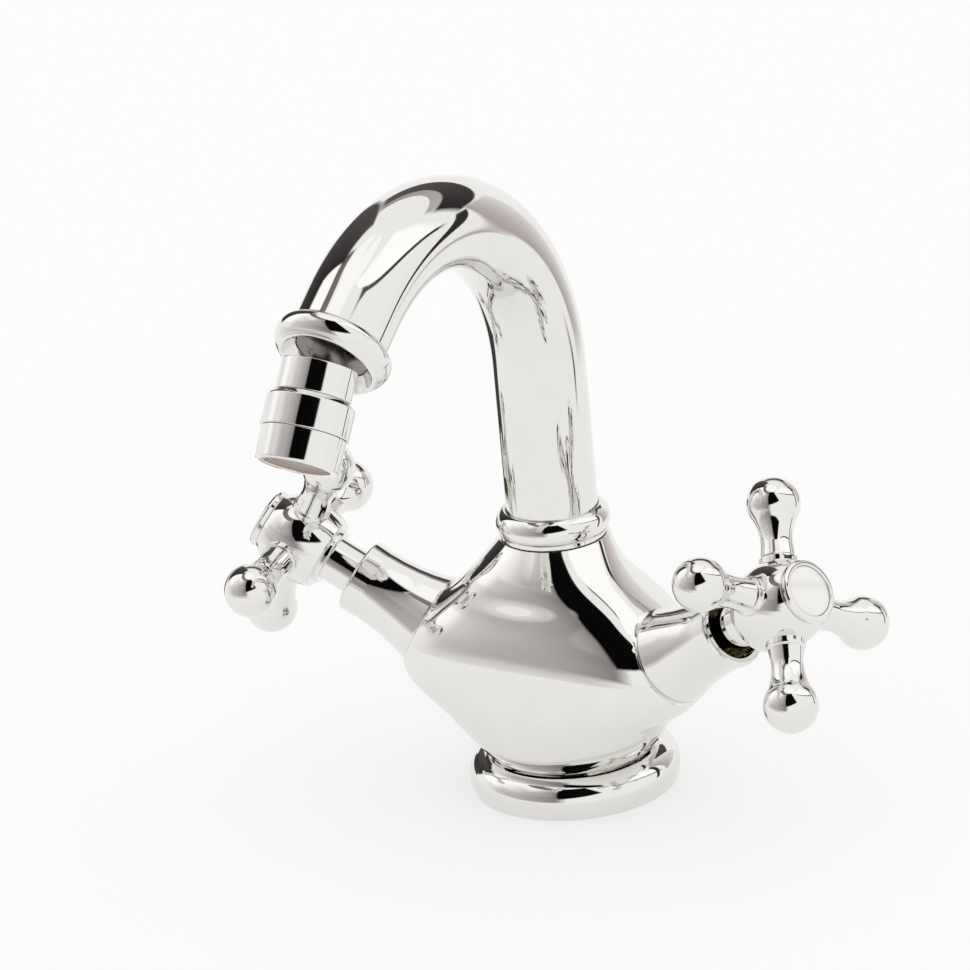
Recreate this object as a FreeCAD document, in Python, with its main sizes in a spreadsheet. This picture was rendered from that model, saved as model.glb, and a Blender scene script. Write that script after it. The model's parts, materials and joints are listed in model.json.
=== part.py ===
import FreeCAD, Part
import math
import operator
import os
from types import SimpleNamespace

import Sketcher
from FreeCAD import Placement, Rotation, Vector

# Bidet mixer tap with two cross handles, a swan-neck spout and a ball-joint aerator.
# The origin is the middle of the underside of the base, +Z is up, the spout points to -Y,
# and the cold handle is on the +X side. Lengths are millimetres and angles are degrees.

SIZES = {
    # Clearances shared by the pieces
    "fit_gap": 0.05,             # between a piece and the bore or socket that holds it
    "running_gap": 0.1,          # between a turning piece and its bearing
    "free_gap": 0.3,             # between pieces that pass without bearing on each other
    # Base ring and gasket
    "base_radius": 26.0,
    "base_height": 9.2,
    "base_band_height": 3.9,     # height of the widest line of the half-round band
    "base_skirt_inset": 0.7,
    "base_skirt_height": 0.6,
    "base_shoulder": 5.7,        # from the widest line of the ring in to the foot of the body
    "base_lip_gap": 0.7,         # groove between the lip of the ring and the foot of the body
    "gasket_width": 3.0,
    "gasket_height": 1.4,
    "gasket_inset": 1.4,         # from the bore of the ring to the gasket's groove
    # Cast body
    "foot_height": 7.6,
    "foot_band": 1.6,            # straight band of the foot, inside the lip of the ring
    "foot_ledge": 3.8,           # from the foot of the body in to its locating spigot
    "spigot_recess": 2.0,        # underside of the spigot above the deck
    "girth_radius": 25.0,        # front-to-back half width at the lower edge of the valve seats
    "middle_radius": 23.9,       # the same at the middle of the valve seats
    "shoulder_radius": 20.6,     # the same at the upper edge of the valve seats
    "flare_drop": 8.0,           # from the neck down to the flare
    "flare_along": 20.1,         # half width along the arms at the flare
    "flare_across": 17.6,
    "flare_forward": 1.6,        # the middle of the flare lies forward of the axis
    "bowl_swell": 1.6,           # the bowl's front and back stand out of the line to the seats
    "bowl_inset": 0.9,           # its sides lie inside that line
    "neck_height": 65.0,
    "neck_radius": 13.4,
    "neck_thread_radius": 12.0,
    "neck_thread_length": 3.5,
    "chamber_radius": 6.0,
    "chamber_depth": 23.0,       # from the neck down to the floor of the mixing chamber
    "inlet_wall": 1.54,          # metal between an inlet and the side of the spigot
    "inlet_setback": 1.5,        # inlets lie this far in front of the axis of the body
    "inlet_radius": 4.46,        # wall of an M10x1 tapped hole
    "inlet_depth": 12.0,
    "inlet_rise_radius": 3.6,
    "stud_radius": 3.32,         # wall of an M8 tapped hole
    "stud_depth": 14.0,
    "stud_wall": 1.68,           # metal between the stud's hole and the side of the spigot
    # Arms, measured along each arm from the axis of the body
    "arm_tilt": 30.3,
    "arm_sweep": 9.0,
    "arm_drop": 45.5,            # from the neck down to where the arms meet
    "seam_distance": 40.1,
    "seam_radius": 11.7,
    # Ceramic headwork
    "pocket_radius": 8.35,       # wall of the G3/8 tapped pocket
    "pocket_depth": 24.0,
    "seat_port_radius": 3.8,
    "seat_port_depth": 6.0,      # from the floor of the pocket down to the end of the seat port
    "mix_port_radius": 2.8,
    "seal_height": 2.0,
    "disc_radius": 7.0,
    "disc_height": 2.5,
    "disc_port_radius": 1.8,
    "disc_port_offset": 3.6,
    "headwork_flange_radius": 9.6,
    "headwork_flange_height": 1.5,
    "hexagon_flats": 15.0,
    "hexagon_height": 4.5,
    "headwork_neck_radius": 6.9,
    "headwork_neck_height": 6.0,
    "window_height": 2.2,
    "window_width": 6.0,
    "spindle_radius": 4.0,
    "spindle_flange_radius": 6.2,
    "spindle_flange_height": 3.0,
    "spindle_ring_wire": 1.3,    # cross-section of the spindle's sealing rings
    "spindle_ring_pitch": 4.0,
    "spindle_ring_height": 2.6,  # first ring above the seam
    "clip_height": 0.8,
    "clip_width": 1.2,
    "drive_square": 5.4,
    "drive_length": 9.5,
    "drive_start": 17.0,         # foot of the square above the seam
    # Bell cover
    "bell_length": 21.5,
    "bell_rim": 0.8,             # rounding of the bell's mouth
    "bell_lip": 0.25,            # the bell stands proud of the body at the seam
    "bell_mouth_radius": 9.5,
    "bell_waist_radius": 9.3,
    "bell_waist_height": 16.5,
    "bell_bore_radius": 7.7,
    "bell_thread_height": 4.0,
    # Cross handle
    "cross_distance": 79.0,
    "shank_radius": 5.8,
    "hub_start": 69.3,
    "hub_flange_radius": 7.2,
    "hub_flange_height": 1.3,
    "hub_rear_radius": 9.2,
    "hub_radius": 10.6,
    "hub_front": 87.0,
    "hub_front_radius": 7.6,
    "bulb_distance": 25.2,
    "bulb_radius": 6.55,
    "bulb_neck_radius": 3.85,
    "bulb_neck_distance": 15.0,
    "bulb_collar_radius": 4.7,   # small collar where each arm leaves the hub
    "bulb_collar_distance": 11.3,
    "bulb_collar_edge": 0.5,
    "right_turn": -31.5,         # how far each handle stands turned about its arm
    "left_turn": -11.9,
    "screw_radius": 2.0,
    "screw_head_radius": 3.6,
    "screw_head_height": 3.2,
    "screw_length": 13.0,
    "socket_web": 3.4,           # metal between the square socket and the screw's seat
    "counterbore_radius": 4.4,
    "bezel_radius": 7.8,
    "bezel_foot_radius": 7.3,
    "bezel_height": 2.0,
    "bezel_rim": 1.6,
    "bezel_round": 0.9,
    "bezel_plug_depth": 4.0,
    "index_recess": 1.4,
    "index_crown": 0.35,
    # Spout
    "tube_radius": 11.2,
    "tube_wall": 1.2,
    "bend_start": 108.1,
    "bend_radius": 48.2,
    "bend_angle": 126.0,
    "tail_length": 11.0,
    "washer_height": 0.5,
    "spigot_flange_height": 1.0,
    "spout_bearing_radius": 8.5, # bore in the body that the spigot turns in
    "spout_bearing_depth": 17.0,
    "spout_bore_radius": 5.6,
    "spout_sleeve_height": 8.0,
    "spout_ring_wire": 1.8,
    "spout_ring_pitch": 6.0,
    "collar_radius": 14.0,
    "collar_skirt_radius": 12.95,
    "collar_skirt_height": 1.1,
    "collar_band_height": 3.6,
    "collar_top": 7.2,
    "collar_top_radius": 11.9,
    "collar_lip_gap": 0.15,
    # Outlet ring and swivel ball, measured along the outlet from the middle of the bead
    "outlet_radius": 13.8,
    "outlet_rise": 2.6,
    "outlet_drop": 3.4,
    "outlet_lip_radius": 12.0,
    "outlet_lip_wall": 1.1,
    "outlet_lip_round": 0.6,
    "outlet_sleeve_length": 6.0,
    "outlet_thread_radius": 7.6,
    "stem_thread_length": 5.0,
    "stem_flange_radius": 8.4,
    "stem_flange_height": 1.0,
    "stem_bore_radius": 2.2,
    "ball_drop": 11.4,
    "ball_radius": 6.6,
    "ball_neck_radius": 3.6,
    "stem_root_radius": 6.8,     # foot of the hollow curve that leads to the ball
    "stem_curve_radius": 4.2,
    # Swivel aerator, measured along its axis from the middle of the ball
    "aerator_lean": 34.0,        # forward of straight down
    "seat_wall": 0.75,
    "seat_reach": 1.6,
    "cap_rise": 6.1,
    "cap_radius": 8.7,
    "cap_drop": 1.1,
    "cap_mouth_radius": 7.9,
    "cap_throat_radius": 6.3,
    "carrier_shoulder": 2.4,
    "carrier_radius": 10.1,
    "carrier_end": 9.5,
    "carrier_bore_radius": 5.0,
    "carrier_web": 0.8,          # metal between the ball's seal and the gasket
    "seal_wire": 1.4,
    "seal_drop": 4.75,
    "housing_radius": 9.65,
    "housing_mouth_radius": 9.45,
    "housing_length": 7.6,
    "housing_rim": 1.5,
    "housing_thread_radius": 8.4,
    "housing_bore_radius": 7.5,
    "aerator_gasket_height": 0.8,
    "insert_height": 4.0,
    "insert_ledge": 1.0,
    "mesh_height": 0.8,
    "mesh_recess": 0.9,
    "jet_radius": 0.7,
    "jet_ring_radius": 4.2,
}

JET_COUNT = 8
HANDLE_ARMS = 4
CLIP_TURN = 300.0                # degrees of an open retaining ring
SECTION_POINTS = 24              # points round each section of the casting
SIDES = {"left": -1, "right": 1}

doc = FreeCAD.newDocument("bidet_mixer")
sheet = doc.addObject("Spreadsheet::Sheet", "dims")
for row, (alias, number) in enumerate(SIZES.items(), start=1):
    sheet.set(f"A{row}", alias)
    sheet.set(f"B{row}", str(number))
    sheet.setAlias(f"B{row}", alias)
doc.recompute()

OPERATIONS = {"+": operator.add, "-": operator.sub, "*": operator.mul, "/": operator.truediv}


class Size:
    """A number together with the sheet expression that drives it."""

    def __init__(self, value, text):
        self.value = value
        self.text = text

    def __add__(self, other):
        return combine(self, "+", other)

    def __sub__(self, other):
        return combine(self, "-", other)

    def __mul__(self, other):
        return combine(self, "*", other)

    def __truediv__(self, other):
        return combine(self, "/", other)

    def __neg__(self):
        return combine(0.0, "-", self)


def as_size(number):
    """Give a plain number the form of a size."""
    if isinstance(number, Size):
        return number
    return Size(float(number), repr(float(number)))


def combine(left, sign, right):
    """Join two sizes by one of the four operations."""
    left = as_size(left)
    right = as_size(right)
    value = OPERATIONS[sign](left.value, right.value)
    return Size(value, f"({left.text} {sign} {right.text})")


d = SimpleNamespace(**{alias: Size(float(sheet.get(alias)), f"dims.{alias}") for alias in SIZES})
ON_AXIS = as_size(0.0)
nodes = {}


def keep(label, item):
    """Name a finished piece and put it on the list of nodes."""
    item.Label = label
    nodes[label] = item
    return item


def origin_feature(body, role):
    """Find a plane or axis of a body's own origin by its role."""
    return next(item for item in body.Origin.OriginFeatures if item.Role == role)


def new_sketch(body, plane, offset=None):
    """Attach an empty sketch to one of the body's origin planes."""
    sketch = body.newObject("Sketcher::SketchObject", "outline")
    sketch.AttachmentSupport = [(origin_feature(body, plane), "")]
    sketch.MapMode = "FlatFace"
    if offset is not None:
        sketch.AttachmentOffset = offset
    return sketch


def arc_between(start, end, radius):
    """Draw the smaller arc from start to end, its centre on the left where radius is positive."""
    chord = end - start
    half = chord.Length / 2
    left = Vector(-chord.y, chord.x, 0).normalize()
    reach = math.sqrt(max(radius * radius - half * half, 0.0))
    centre = (start + end) / 2 + left * (reach if radius > 0 else -reach)
    first, last = (start, end) if radius > 0 else (end, start)
    angles = [math.atan2(p.y - centre.y, p.x - centre.x) for p in (first, last)]
    circle = Part.Circle(centre, Vector(0, 0, 1), abs(radius))
    return Part.ArcOfCircle(circle, angles[0], angles[1])


def pin_corner(sketch, item, end, across, up):
    """Hold a corner of a sketch at its distances from the origin, or at only one of them."""
    for kind, size, axis in (("DistanceX", across, -2), ("DistanceY", up, -1)):
        if size is None:
            continue
        if abs(size.value) < 1e-9:
            sketch.addConstraint(Sketcher.Constraint("PointOnObject", item, end, axis))
            continue
        rule = sketch.addConstraint(Sketcher.Constraint(kind, -1, 1, item, end, size.value))
        sketch.setExpression(f"Constraints[{rule}]", size.text)


def draw_outline(sketch, corners):
    """Draw a closed outline, anticlockwise, of corners (across, up) or (across, up, arc radius).

    The radius belongs to the stretch that arrives at the corner: positive stands out of the
    piece, negative is hollow.
    """
    corners = [tuple(as_size(size) for size in corner) for corner in corners]
    places = [Vector(corner[0].value, corner[1].value, 0) for corner in corners]
    ends = []
    for index, corner in enumerate(corners):
        start = places[index - 1]
        end = places[index]
        if len(corner) == 3:
            item = sketch.addGeometry(arc_between(start, end, corner[2].value), False)
            ends.append((item, 1, 2) if corner[2].value > 0 else (item, 2, 1))
            radius = corner[2] if corner[2].value > 0 else -corner[2]
            rule = sketch.addConstraint(Sketcher.Constraint("Radius", item, radius.value))
            sketch.setExpression(f"Constraints[{rule}]", radius.text)
        else:
            item = sketch.addGeometry(Part.LineSegment(start, end), False)
            ends.append((item, 1, 2))
    for (item, _, finish), (following, begin, _) in zip(ends, ends[1:] + ends[:1]):
        sketch.addConstraint(Sketcher.Constraint("Coincident", item, finish, following, begin))
    for (item, _, finish), corner in zip(ends, corners):
        pin_corner(sketch, item, finish, corner[0], corner[1])


def new_body(label, place):
    """Start a body that will be the node of that name."""
    body = doc.addObject("PartDesign::Body", label)
    body.Placement = place
    return keep(label, body)


def revolve(body, corners, kind="Revolution", offset=None, turn=360.0):
    """Turn an outline about its upright axis, adding or cutting metal."""
    sketch = new_sketch(body, "XZ_Plane", offset)
    draw_outline(sketch, corners)
    feature = body.newObject(f"PartDesign::{kind}", kind.lower())
    feature.Profile = sketch
    feature.ReferenceAxis = (sketch, ["V_Axis"])
    feature.Angle = turn
    sketch.Visibility = False
    return feature


def turned(label, place, corners, turn=360.0):
    """Make a piece that is turned from one outline."""
    body = new_body(label, place)
    revolve(body, corners, turn=turn)
    return body


def regular_polygon(body, sides, flats, height):
    """Sketch a regular polygon of the given width across flats, square to the body's axis."""
    sketch = new_sketch(body, "XY_Plane", Placement(Vector(0, 0, height.value), Rotation()))
    sketch.setExpression("AttachmentOffset.Base.z", height.text)
    corner = 1 / math.cos(math.pi / sides) / 2
    ring = []
    for index in range(sides):
        angle = 2 * math.pi * (index + 0.5) / sides
        ring.append((flats * (corner * math.cos(angle)), flats * (corner * math.sin(angle))))
    draw_outline(sketch, ring)
    sketch.Visibility = False
    return sketch


def round_holes(body, height, holes):
    """Sketch round holes, each an (across, up, radius), square to the body's axis."""
    sketch = new_sketch(body, "XY_Plane", Placement(Vector(0, 0, height.value), Rotation()))
    sketch.setExpression("AttachmentOffset.Base.z", height.text)
    for across, up, radius in holes:
        circle = Part.Circle(Vector(across.value, up.value, 0), Vector(0, 0, 1), radius.value)
        item = sketch.addGeometry(circle, False)
        pin_corner(sketch, item, 3, across, up)
        rule = sketch.addConstraint(Sketcher.Constraint("Radius", item, radius.value))
        sketch.setExpression(f"Constraints[{rule}]", radius.text)
    sketch.Visibility = False
    return sketch


def extrude(body, sketch, length, kind="Pad", backwards=False):
    """Pad or pocket a sketch along the body's axis."""
    feature = body.newObject(f"PartDesign::{kind}", kind.lower())
    feature.Profile = sketch
    feature.Length = length.value
    feature.setExpression("Length", length.text)
    feature.Reversed = backwards
    return feature


def polar_pattern(body, feature, count):
    """Repeat a feature round the body's own axis."""
    pattern = body.newObject("PartDesign::PolarPattern", "pattern")
    pattern.Originals = [feature]
    pattern.Axis = (origin_feature(body, "Z_Axis"), [""])
    pattern.Angle = 360.0
    pattern.Occurrences = count
    body.Tip = pattern
    return pattern


def torus(name, centre_radius, wire, place):
    """Make a round sealing ring of the given cross-section."""
    ring = doc.addObject("Part::Torus", name)
    half = wire / 2
    ring.setExpression("Radius1", centre_radius.text)
    ring.setExpression("Radius2", half.text)
    ring.Placement = place
    return ring


def cylinder(name, radius, length, place):
    """Make a plain cylinder that serves as a cutter or a boss of the casting."""
    item = doc.addObject("Part::Cylinder", name)
    item.setExpression("Radius", radius.text)
    item.setExpression("Height", length.text)
    item.Placement = place
    return item


def joined(kind, name, members):
    """Join several objects in one fusion or compound."""
    item = doc.addObject(kind, name)
    if kind == "Part::Compound":
        item.Links = members
    else:
        item.Shapes = members
    return item


def crown(inset, rise):
    """Radius of an arc that is upright at its outer end and falls inset over its rise."""
    return (inset * inset + rise * rise) / (inset * 2)


def sphere_width(radius, height):
    """Half width of a ball at a height from its middle."""
    text = f"sqrt({radius.text} * {radius.text} - {height.text} * {height.text})"
    return Size(math.sqrt(radius.value ** 2 - height.value ** 2), text)


# Frames of the sub-assemblies

UPRIGHT = Placement()
arm_height = d.neck_height - d.arm_drop


def arm_direction(side):
    """Unit vector along an arm, up and to its side."""
    tilt = math.radians(d.arm_tilt.value)
    sweep = math.radians(d.arm_sweep.value)
    level = math.cos(tilt)
    return Vector(side * level * math.cos(sweep), -level * math.sin(sweep), math.sin(tilt))


def arm_place(side, along=0.0, turn=0.0):
    """Frame of an arm: +Z runs out along it, +Y is its upper side."""
    axis = arm_direction(side)
    across = Vector(0, 0, 1).cross(axis).normalize()
    upper = axis.cross(across)
    rotation = Rotation(across, upper, axis, "ZXY").multiply(Rotation(Vector(0, 0, 1), turn))
    return Placement(Vector(0, 0, arm_height.value) + axis * along, rotation)


def leaning_down(lean):
    """Unit vector that leans forward of straight down by an angle in degrees."""
    angle = math.radians(lean)
    return Vector(0, -math.sin(angle), -math.cos(angle))


def outlet_place():
    """Frame of the outlet: +Z runs out of the spout, the origin is the middle of the bead."""
    bend = math.radians(d.bend_angle.value)
    axis = leaning_down(180.0 - d.bend_angle.value)
    reach = d.bend_radius.value * (1 - math.cos(bend))
    rise = d.bend_start.value + d.bend_radius.value * math.sin(bend)
    base = Vector(0, -reach, rise) + axis * d.tail_length.value
    return Placement(base, Rotation(Vector(1, 0, 0), Vector(), axis, "ZXY"))


def aerator_place():
    """Frame of the aerator: +Z runs down along it, the origin is the middle of the ball."""
    outlet = outlet_place()
    base = outlet.multVec(Vector(0, 0, d.ball_drop.value))
    axis = leaning_down(d.aerator_lean.value)
    return Placement(base, Rotation(Vector(1, 0, 0), Vector(), axis, "ZXY"))


# Base ring and gasket

foot_radius = d.base_radius - d.base_shoulder
spigot_radius = foot_radius - d.foot_ledge
base_bore = spigot_radius + d.free_gap
gasket_inner = base_bore + d.gasket_inset
gasket_outer = gasket_inner + d.gasket_width
base_lip = foot_radius + d.base_lip_gap
base_skirt = d.base_radius - d.base_skirt_inset


def make_base():
    """Make the half-round ring and the gasket in its underside."""
    turned("base_ring", UPRIGHT, [
        (base_bore, ON_AXIS),
        (gasket_inner - d.fit_gap, ON_AXIS),
        (gasket_inner - d.fit_gap, d.gasket_height),
        (gasket_outer + d.fit_gap, d.gasket_height),
        (gasket_outer + d.fit_gap, ON_AXIS),
        (base_skirt, ON_AXIS),
        (base_skirt, d.base_skirt_height),
        (d.base_radius, d.base_band_height,
         crown(d.base_skirt_inset, d.base_band_height - d.base_skirt_height)),
        (base_lip, d.base_height, crown(d.base_radius - base_lip, d.base_height - d.base_band_height)),
        (base_lip, d.foot_height),
        (base_bore, d.foot_height),
    ])
    turned("base_gasket", UPRIGHT, [
        (gasket_inner, ON_AXIS),
        (gasket_outer, ON_AXIS),
        (gasket_outer, d.gasket_height),
        (gasket_inner, d.gasket_height),
    ])


# Cast body

neck_top = d.neck_height + d.neck_thread_length
flare_height = d.neck_height - d.flare_drop
chamber_floor = d.neck_height - d.chamber_depth
inlet_offset = spigot_radius - d.inlet_wall - d.inlet_radius
stud_setback = spigot_radius - d.stud_wall - d.stud_radius


def section_wire(along, across, height, bend=1.0, shift=0.0):
    """Oval section of the casting; bend is the share of the arms' sweep that its long axis takes."""
    sweep = math.radians(d.arm_sweep.value) * bend
    points = []
    for index in range(SECTION_POINTS):
        turn = math.pi / 2 + 2 * math.pi * index / SECTION_POINTS
        side = along * math.cos(sweep) * math.cos(turn)
        forward = shift + along * math.sin(sweep) * math.cos(turn) ** 2
        points.append(Vector(side, across * math.sin(turn) - forward, height))
    curve = Part.BSplineCurve()
    curve.interpolate(Points=points, PeriodicFlag=True)
    return Part.Wire([curve.toShape()])


def seat_section(offset):
    """Section of the casting that covers the valve seats at a height from their middle."""
    tilt = math.radians(d.arm_tilt.value)
    radius = d.seam_radius.value
    part = offset / (radius * math.cos(tilt))
    girth = d.girth_radius.value
    shoulder = d.shoulder_radius.value
    middle = d.middle_radius.value
    across = middle + part * (shoulder - girth) / 2 + part ** 2 * ((shoulder + girth) / 2 - middle)
    half_width = radius * math.sqrt(max(1 - part ** 2, 0.0))
    reach = d.seam_distance.value * math.cos(tilt) - offset * math.tan(tilt)
    height = arm_height.value + d.seam_distance.value * math.sin(tilt) + offset
    return reach / math.sqrt(1 - (half_width / across) ** 2), across, height


def casting_blank():
    """Loft the body from its round foot through the valve shoulders to its round neck."""
    foot = foot_radius.value
    foot_height = d.foot_height.value + d.foot_band.value
    half_seat = d.seam_radius.value * math.cos(math.radians(d.arm_tilt.value))
    seats = [seat_section(half_seat * part) for part in (-1.0, -1 / 3, 1 / 3, 1.0)]
    low_along, low_across, low_height = seats[0]
    bowl = []
    for part in (0.0, 1 / 3, 2 / 3):
        hump = math.sin(math.pi * part)
        along = foot + (low_along - foot) * part - d.bowl_inset.value * hump
        across = foot + (low_across - foot) * part + d.bowl_swell.value * hump
        bend = 1 - (1 - part) ** 3
        bowl.append((along, across, foot_height + (low_height - foot_height) * part, bend))
    flare = (d.flare_along.value, d.flare_across.value, flare_height.value, 1.0, d.flare_forward.value)
    neck = (d.neck_radius.value, d.neck_radius.value, d.neck_height.value, 0.0)
    sections = [*bowl, *seats, flare, neck]
    return Part.makeLoft([section_wire(*section) for section in sections], True, False)


def make_body():
    """Make the casting with its spigot, threaded neck, valve pockets and waterways."""
    blank = doc.addObject("Part::Feature", "casting_blank")
    blank.Shape = casting_blank()
    spigot = cylinder("spigot", spigot_radius, d.foot_height * 2 - d.spigot_recess,
                      Placement(Vector(0, 0, d.spigot_recess.value), Rotation()))
    neck = cylinder("neck", d.neck_thread_radius, neck_top - flare_height,
                    Placement(Vector(0, 0, flare_height.value), Rotation()))
    band = cylinder("band", foot_radius - d.fit_gap, d.foot_band * 2,
                    Placement(Vector(0, 0, d.foot_height.value), Rotation()))
    metal = joined("Part::MultiFuse", "casting", [blank, band, spigot, neck])
    bearing_floor = neck_top.value - d.spout_bearing_depth.value
    cutters = [
        cylinder("spout_bearing", d.spout_bearing_radius, d.spout_bearing_depth,
                 Placement(Vector(0, 0, bearing_floor), Rotation())),
        cylinder("chamber", d.chamber_radius, neck_top - chamber_floor,
                 Placement(Vector(0, 0, chamber_floor.value), Rotation())),
        cylinder("stud_hole", d.stud_radius, d.stud_depth,
                 Placement(Vector(0, stud_setback.value, d.spigot_recess.value), Rotation())),
    ]
    seat = d.seam_distance.value - d.pocket_depth.value
    for name, side in SIDES.items():
        axis = arm_direction(side)
        inlet = Vector(side * inlet_offset.value, -d.inlet_setback.value, d.spigot_recess.value)
        seat_level = arm_height.value + axis.z * seat
        rise = as_size(seat_level) - d.spigot_recess
        window = arm_place(side).multVec(Vector(0, 0, seat + d.pocket_depth.value / 2))
        chamber_foot = Vector(0, 0, chamber_floor.value + 2 * d.mix_port_radius.value)
        port = window - chamber_foot
        cutters += [
            cylinder(f"{name}_seam", d.seam_radius * 3, d.seam_radius * 3,
                     arm_place(side, d.seam_distance.value)),
            cylinder(f"{name}_pocket", d.pocket_radius, d.pocket_depth, arm_place(side, seat)),
            cylinder(f"{name}_seat_port", d.seat_port_radius, d.seat_port_depth * 2,
                     arm_place(side, seat - d.seat_port_depth.value)),
            cylinder(f"{name}_inlet", d.inlet_radius, d.inlet_depth, Placement(inlet, Rotation())),
            cylinder(f"{name}_inlet_rise", d.inlet_rise_radius, rise, Placement(inlet, Rotation())),
            cylinder(f"{name}_mix_port", d.mix_port_radius, as_size(port.Length),
                     Placement(chamber_foot, Rotation(Vector(0, 0, 1), port))),
        ]
    body = doc.addObject("Part::Cut", "mixer_body")
    body.Base = metal
    body.Tool = joined("Part::MultiFuse", "waterways", cutters)
    keep("mixer_body", body)


# Ceramic headworks, along each arm

valve_seat = d.seam_distance - d.pocket_depth
fixed_face = valve_seat + d.seal_height
moving_face = fixed_face + d.disc_height
driver_face = moving_face + d.disc_height
headwork_top = (d.seam_distance + d.headwork_flange_height + d.hexagon_height + d.headwork_neck_height)
drive_foot = d.seam_distance + d.drive_start
spindle_end = drive_foot + d.drive_length


def make_disc(label, place, height, turn_ports):
    """Make a ceramic disc with its two round ports."""
    body = turned(label, place, [
        (ON_AXIS, height),
        (d.disc_radius, height),
        (d.disc_radius, height + d.disc_height),
        (ON_AXIS, height + d.disc_height),
    ])
    doc.recompute()
    offset = d.disc_port_offset
    spots = [(ON_AXIS, offset), (ON_AXIS, -offset)] if turn_ports else [(offset, ON_AXIS), (-offset, ON_AXIS)]
    ports = round_holes(body, height, [(across, up, d.disc_port_radius) for across, up in spots])
    extrude(body, ports, d.disc_height, "Pocket", backwards=True)
    return body


def make_headwork(name, side):
    """Make the fixed pieces of one ceramic headwork."""
    place = arm_place(side)
    turned(f"{name}_seat_seal", place, [
        (d.seat_port_radius + d.free_gap, valve_seat),
        (d.pocket_radius - d.free_gap, valve_seat),
        (d.pocket_radius - d.free_gap, fixed_face),
        (d.seat_port_radius + d.free_gap, fixed_face),
    ])
    make_disc(f"{name}_fixed_disc", place, fixed_face, False)
    body = new_body(f"{name}_headwork_body", place)
    thread = d.pocket_radius - d.fit_gap
    skirt = d.disc_radius + d.free_gap
    driver_room = d.spindle_flange_radius + d.free_gap
    driver_roof = driver_face + d.spindle_flange_height + d.free_gap
    stem = d.spindle_radius + d.fit_gap
    flange_top = d.seam_distance + d.headwork_flange_height
    revolve(body, [
        (skirt, fixed_face),
        (thread, fixed_face),
        (thread, d.seam_distance),
        (d.headwork_flange_radius, d.seam_distance),
        (d.headwork_flange_radius, flange_top),
        (d.headwork_neck_radius, flange_top),
        (d.headwork_neck_radius, headwork_top),
        (stem, headwork_top),
        (stem, driver_roof),
        (driver_room, driver_roof),
        (driver_room, driver_face + d.free_gap),
        (skirt, driver_face + d.free_gap),
    ])
    doc.recompute()
    hexagon = regular_polygon(body, 6, d.hexagon_flats, flange_top)
    extrude(body, hexagon, d.hexagon_height)
    doc.recompute()
    bore = round_holes(body, flange_top, [(ON_AXIS, ON_AXIS, stem)])
    extrude(body, bore, d.hexagon_height, "Pocket", backwards=True)
    doc.recompute()
    window = new_sketch(body, "XZ_Plane")
    half = d.window_width / 2
    low = driver_face + d.free_gap
    high = low + d.window_height
    draw_outline(window, [(-half, low), (half, low), (half, high), (-half, high)])
    cut = extrude(body, window, d.pocket_radius * 2, "Pocket")
    cut.Midplane = True


def make_spindle(name, side, turn):
    """Make the turning pieces inside one headwork."""
    place = arm_place(side, 0.0, turn)
    make_disc(f"{name}_moving_disc", arm_place(side), moving_face, True)
    body = new_body(f"{name}_spindle", place)
    groove = d.spindle_radius - d.spindle_ring_wire
    half = d.spindle_ring_wire / 2 + d.fit_gap
    first = d.seam_distance + d.spindle_ring_height
    second = first + d.spindle_ring_pitch
    clip_foot = headwork_top + d.fit_gap
    clip_top = clip_foot + d.clip_height + d.fit_gap * 2
    clip_root = d.spindle_radius - d.clip_width / 2
    corners = [(ON_AXIS, driver_face), (d.spindle_flange_radius, driver_face),
               (d.spindle_flange_radius, driver_face + d.spindle_flange_height),
               (d.spindle_radius, driver_face + d.spindle_flange_height)]
    for middle in (first, second):
        corners += [(d.spindle_radius, middle - half), (groove, middle - half),
                    (groove, middle + half), (d.spindle_radius, middle + half)]
    corners += [(d.spindle_radius, clip_foot), (clip_root, clip_foot), (clip_root, clip_top),
                (d.spindle_radius, clip_top), (d.spindle_radius, drive_foot), (ON_AXIS, drive_foot)]
    revolve(body, corners)
    doc.recompute()
    square = regular_polygon(body, 4, d.drive_square, drive_foot)
    extrude(body, square, d.drive_length)
    doc.recompute()
    tapped = round_holes(body, spindle_end, [(ON_AXIS, ON_AXIS, d.screw_radius + d.fit_gap)])
    extrude(body, tapped, d.drive_length, "Pocket")
    ring_radius = groove + d.fit_gap / 2 + d.spindle_ring_wire / 2
    wire = d.spindle_ring_wire - d.fit_gap / 2
    rings = [torus(f"{name}_ring", ring_radius, wire, arm_place(side, height.value))
             for height in (first, second)]
    keep(f"{name}_spindle_o_rings", joined("Part::Compound", f"{name}_spindle_o_rings", rings))
    clip_inner = clip_root + d.fit_gap
    turned(f"{name}_spindle_clip", place, [
        (clip_inner, clip_foot + d.fit_gap),
        (clip_inner + d.clip_width, clip_foot + d.fit_gap),
        (clip_inner + d.clip_width, clip_foot + d.fit_gap + d.clip_height),
        (clip_inner, clip_foot + d.fit_gap + d.clip_height),
    ], CLIP_TURN)


# Bell cover, along each arm

bell_mouth = d.seam_distance + d.bell_length


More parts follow.
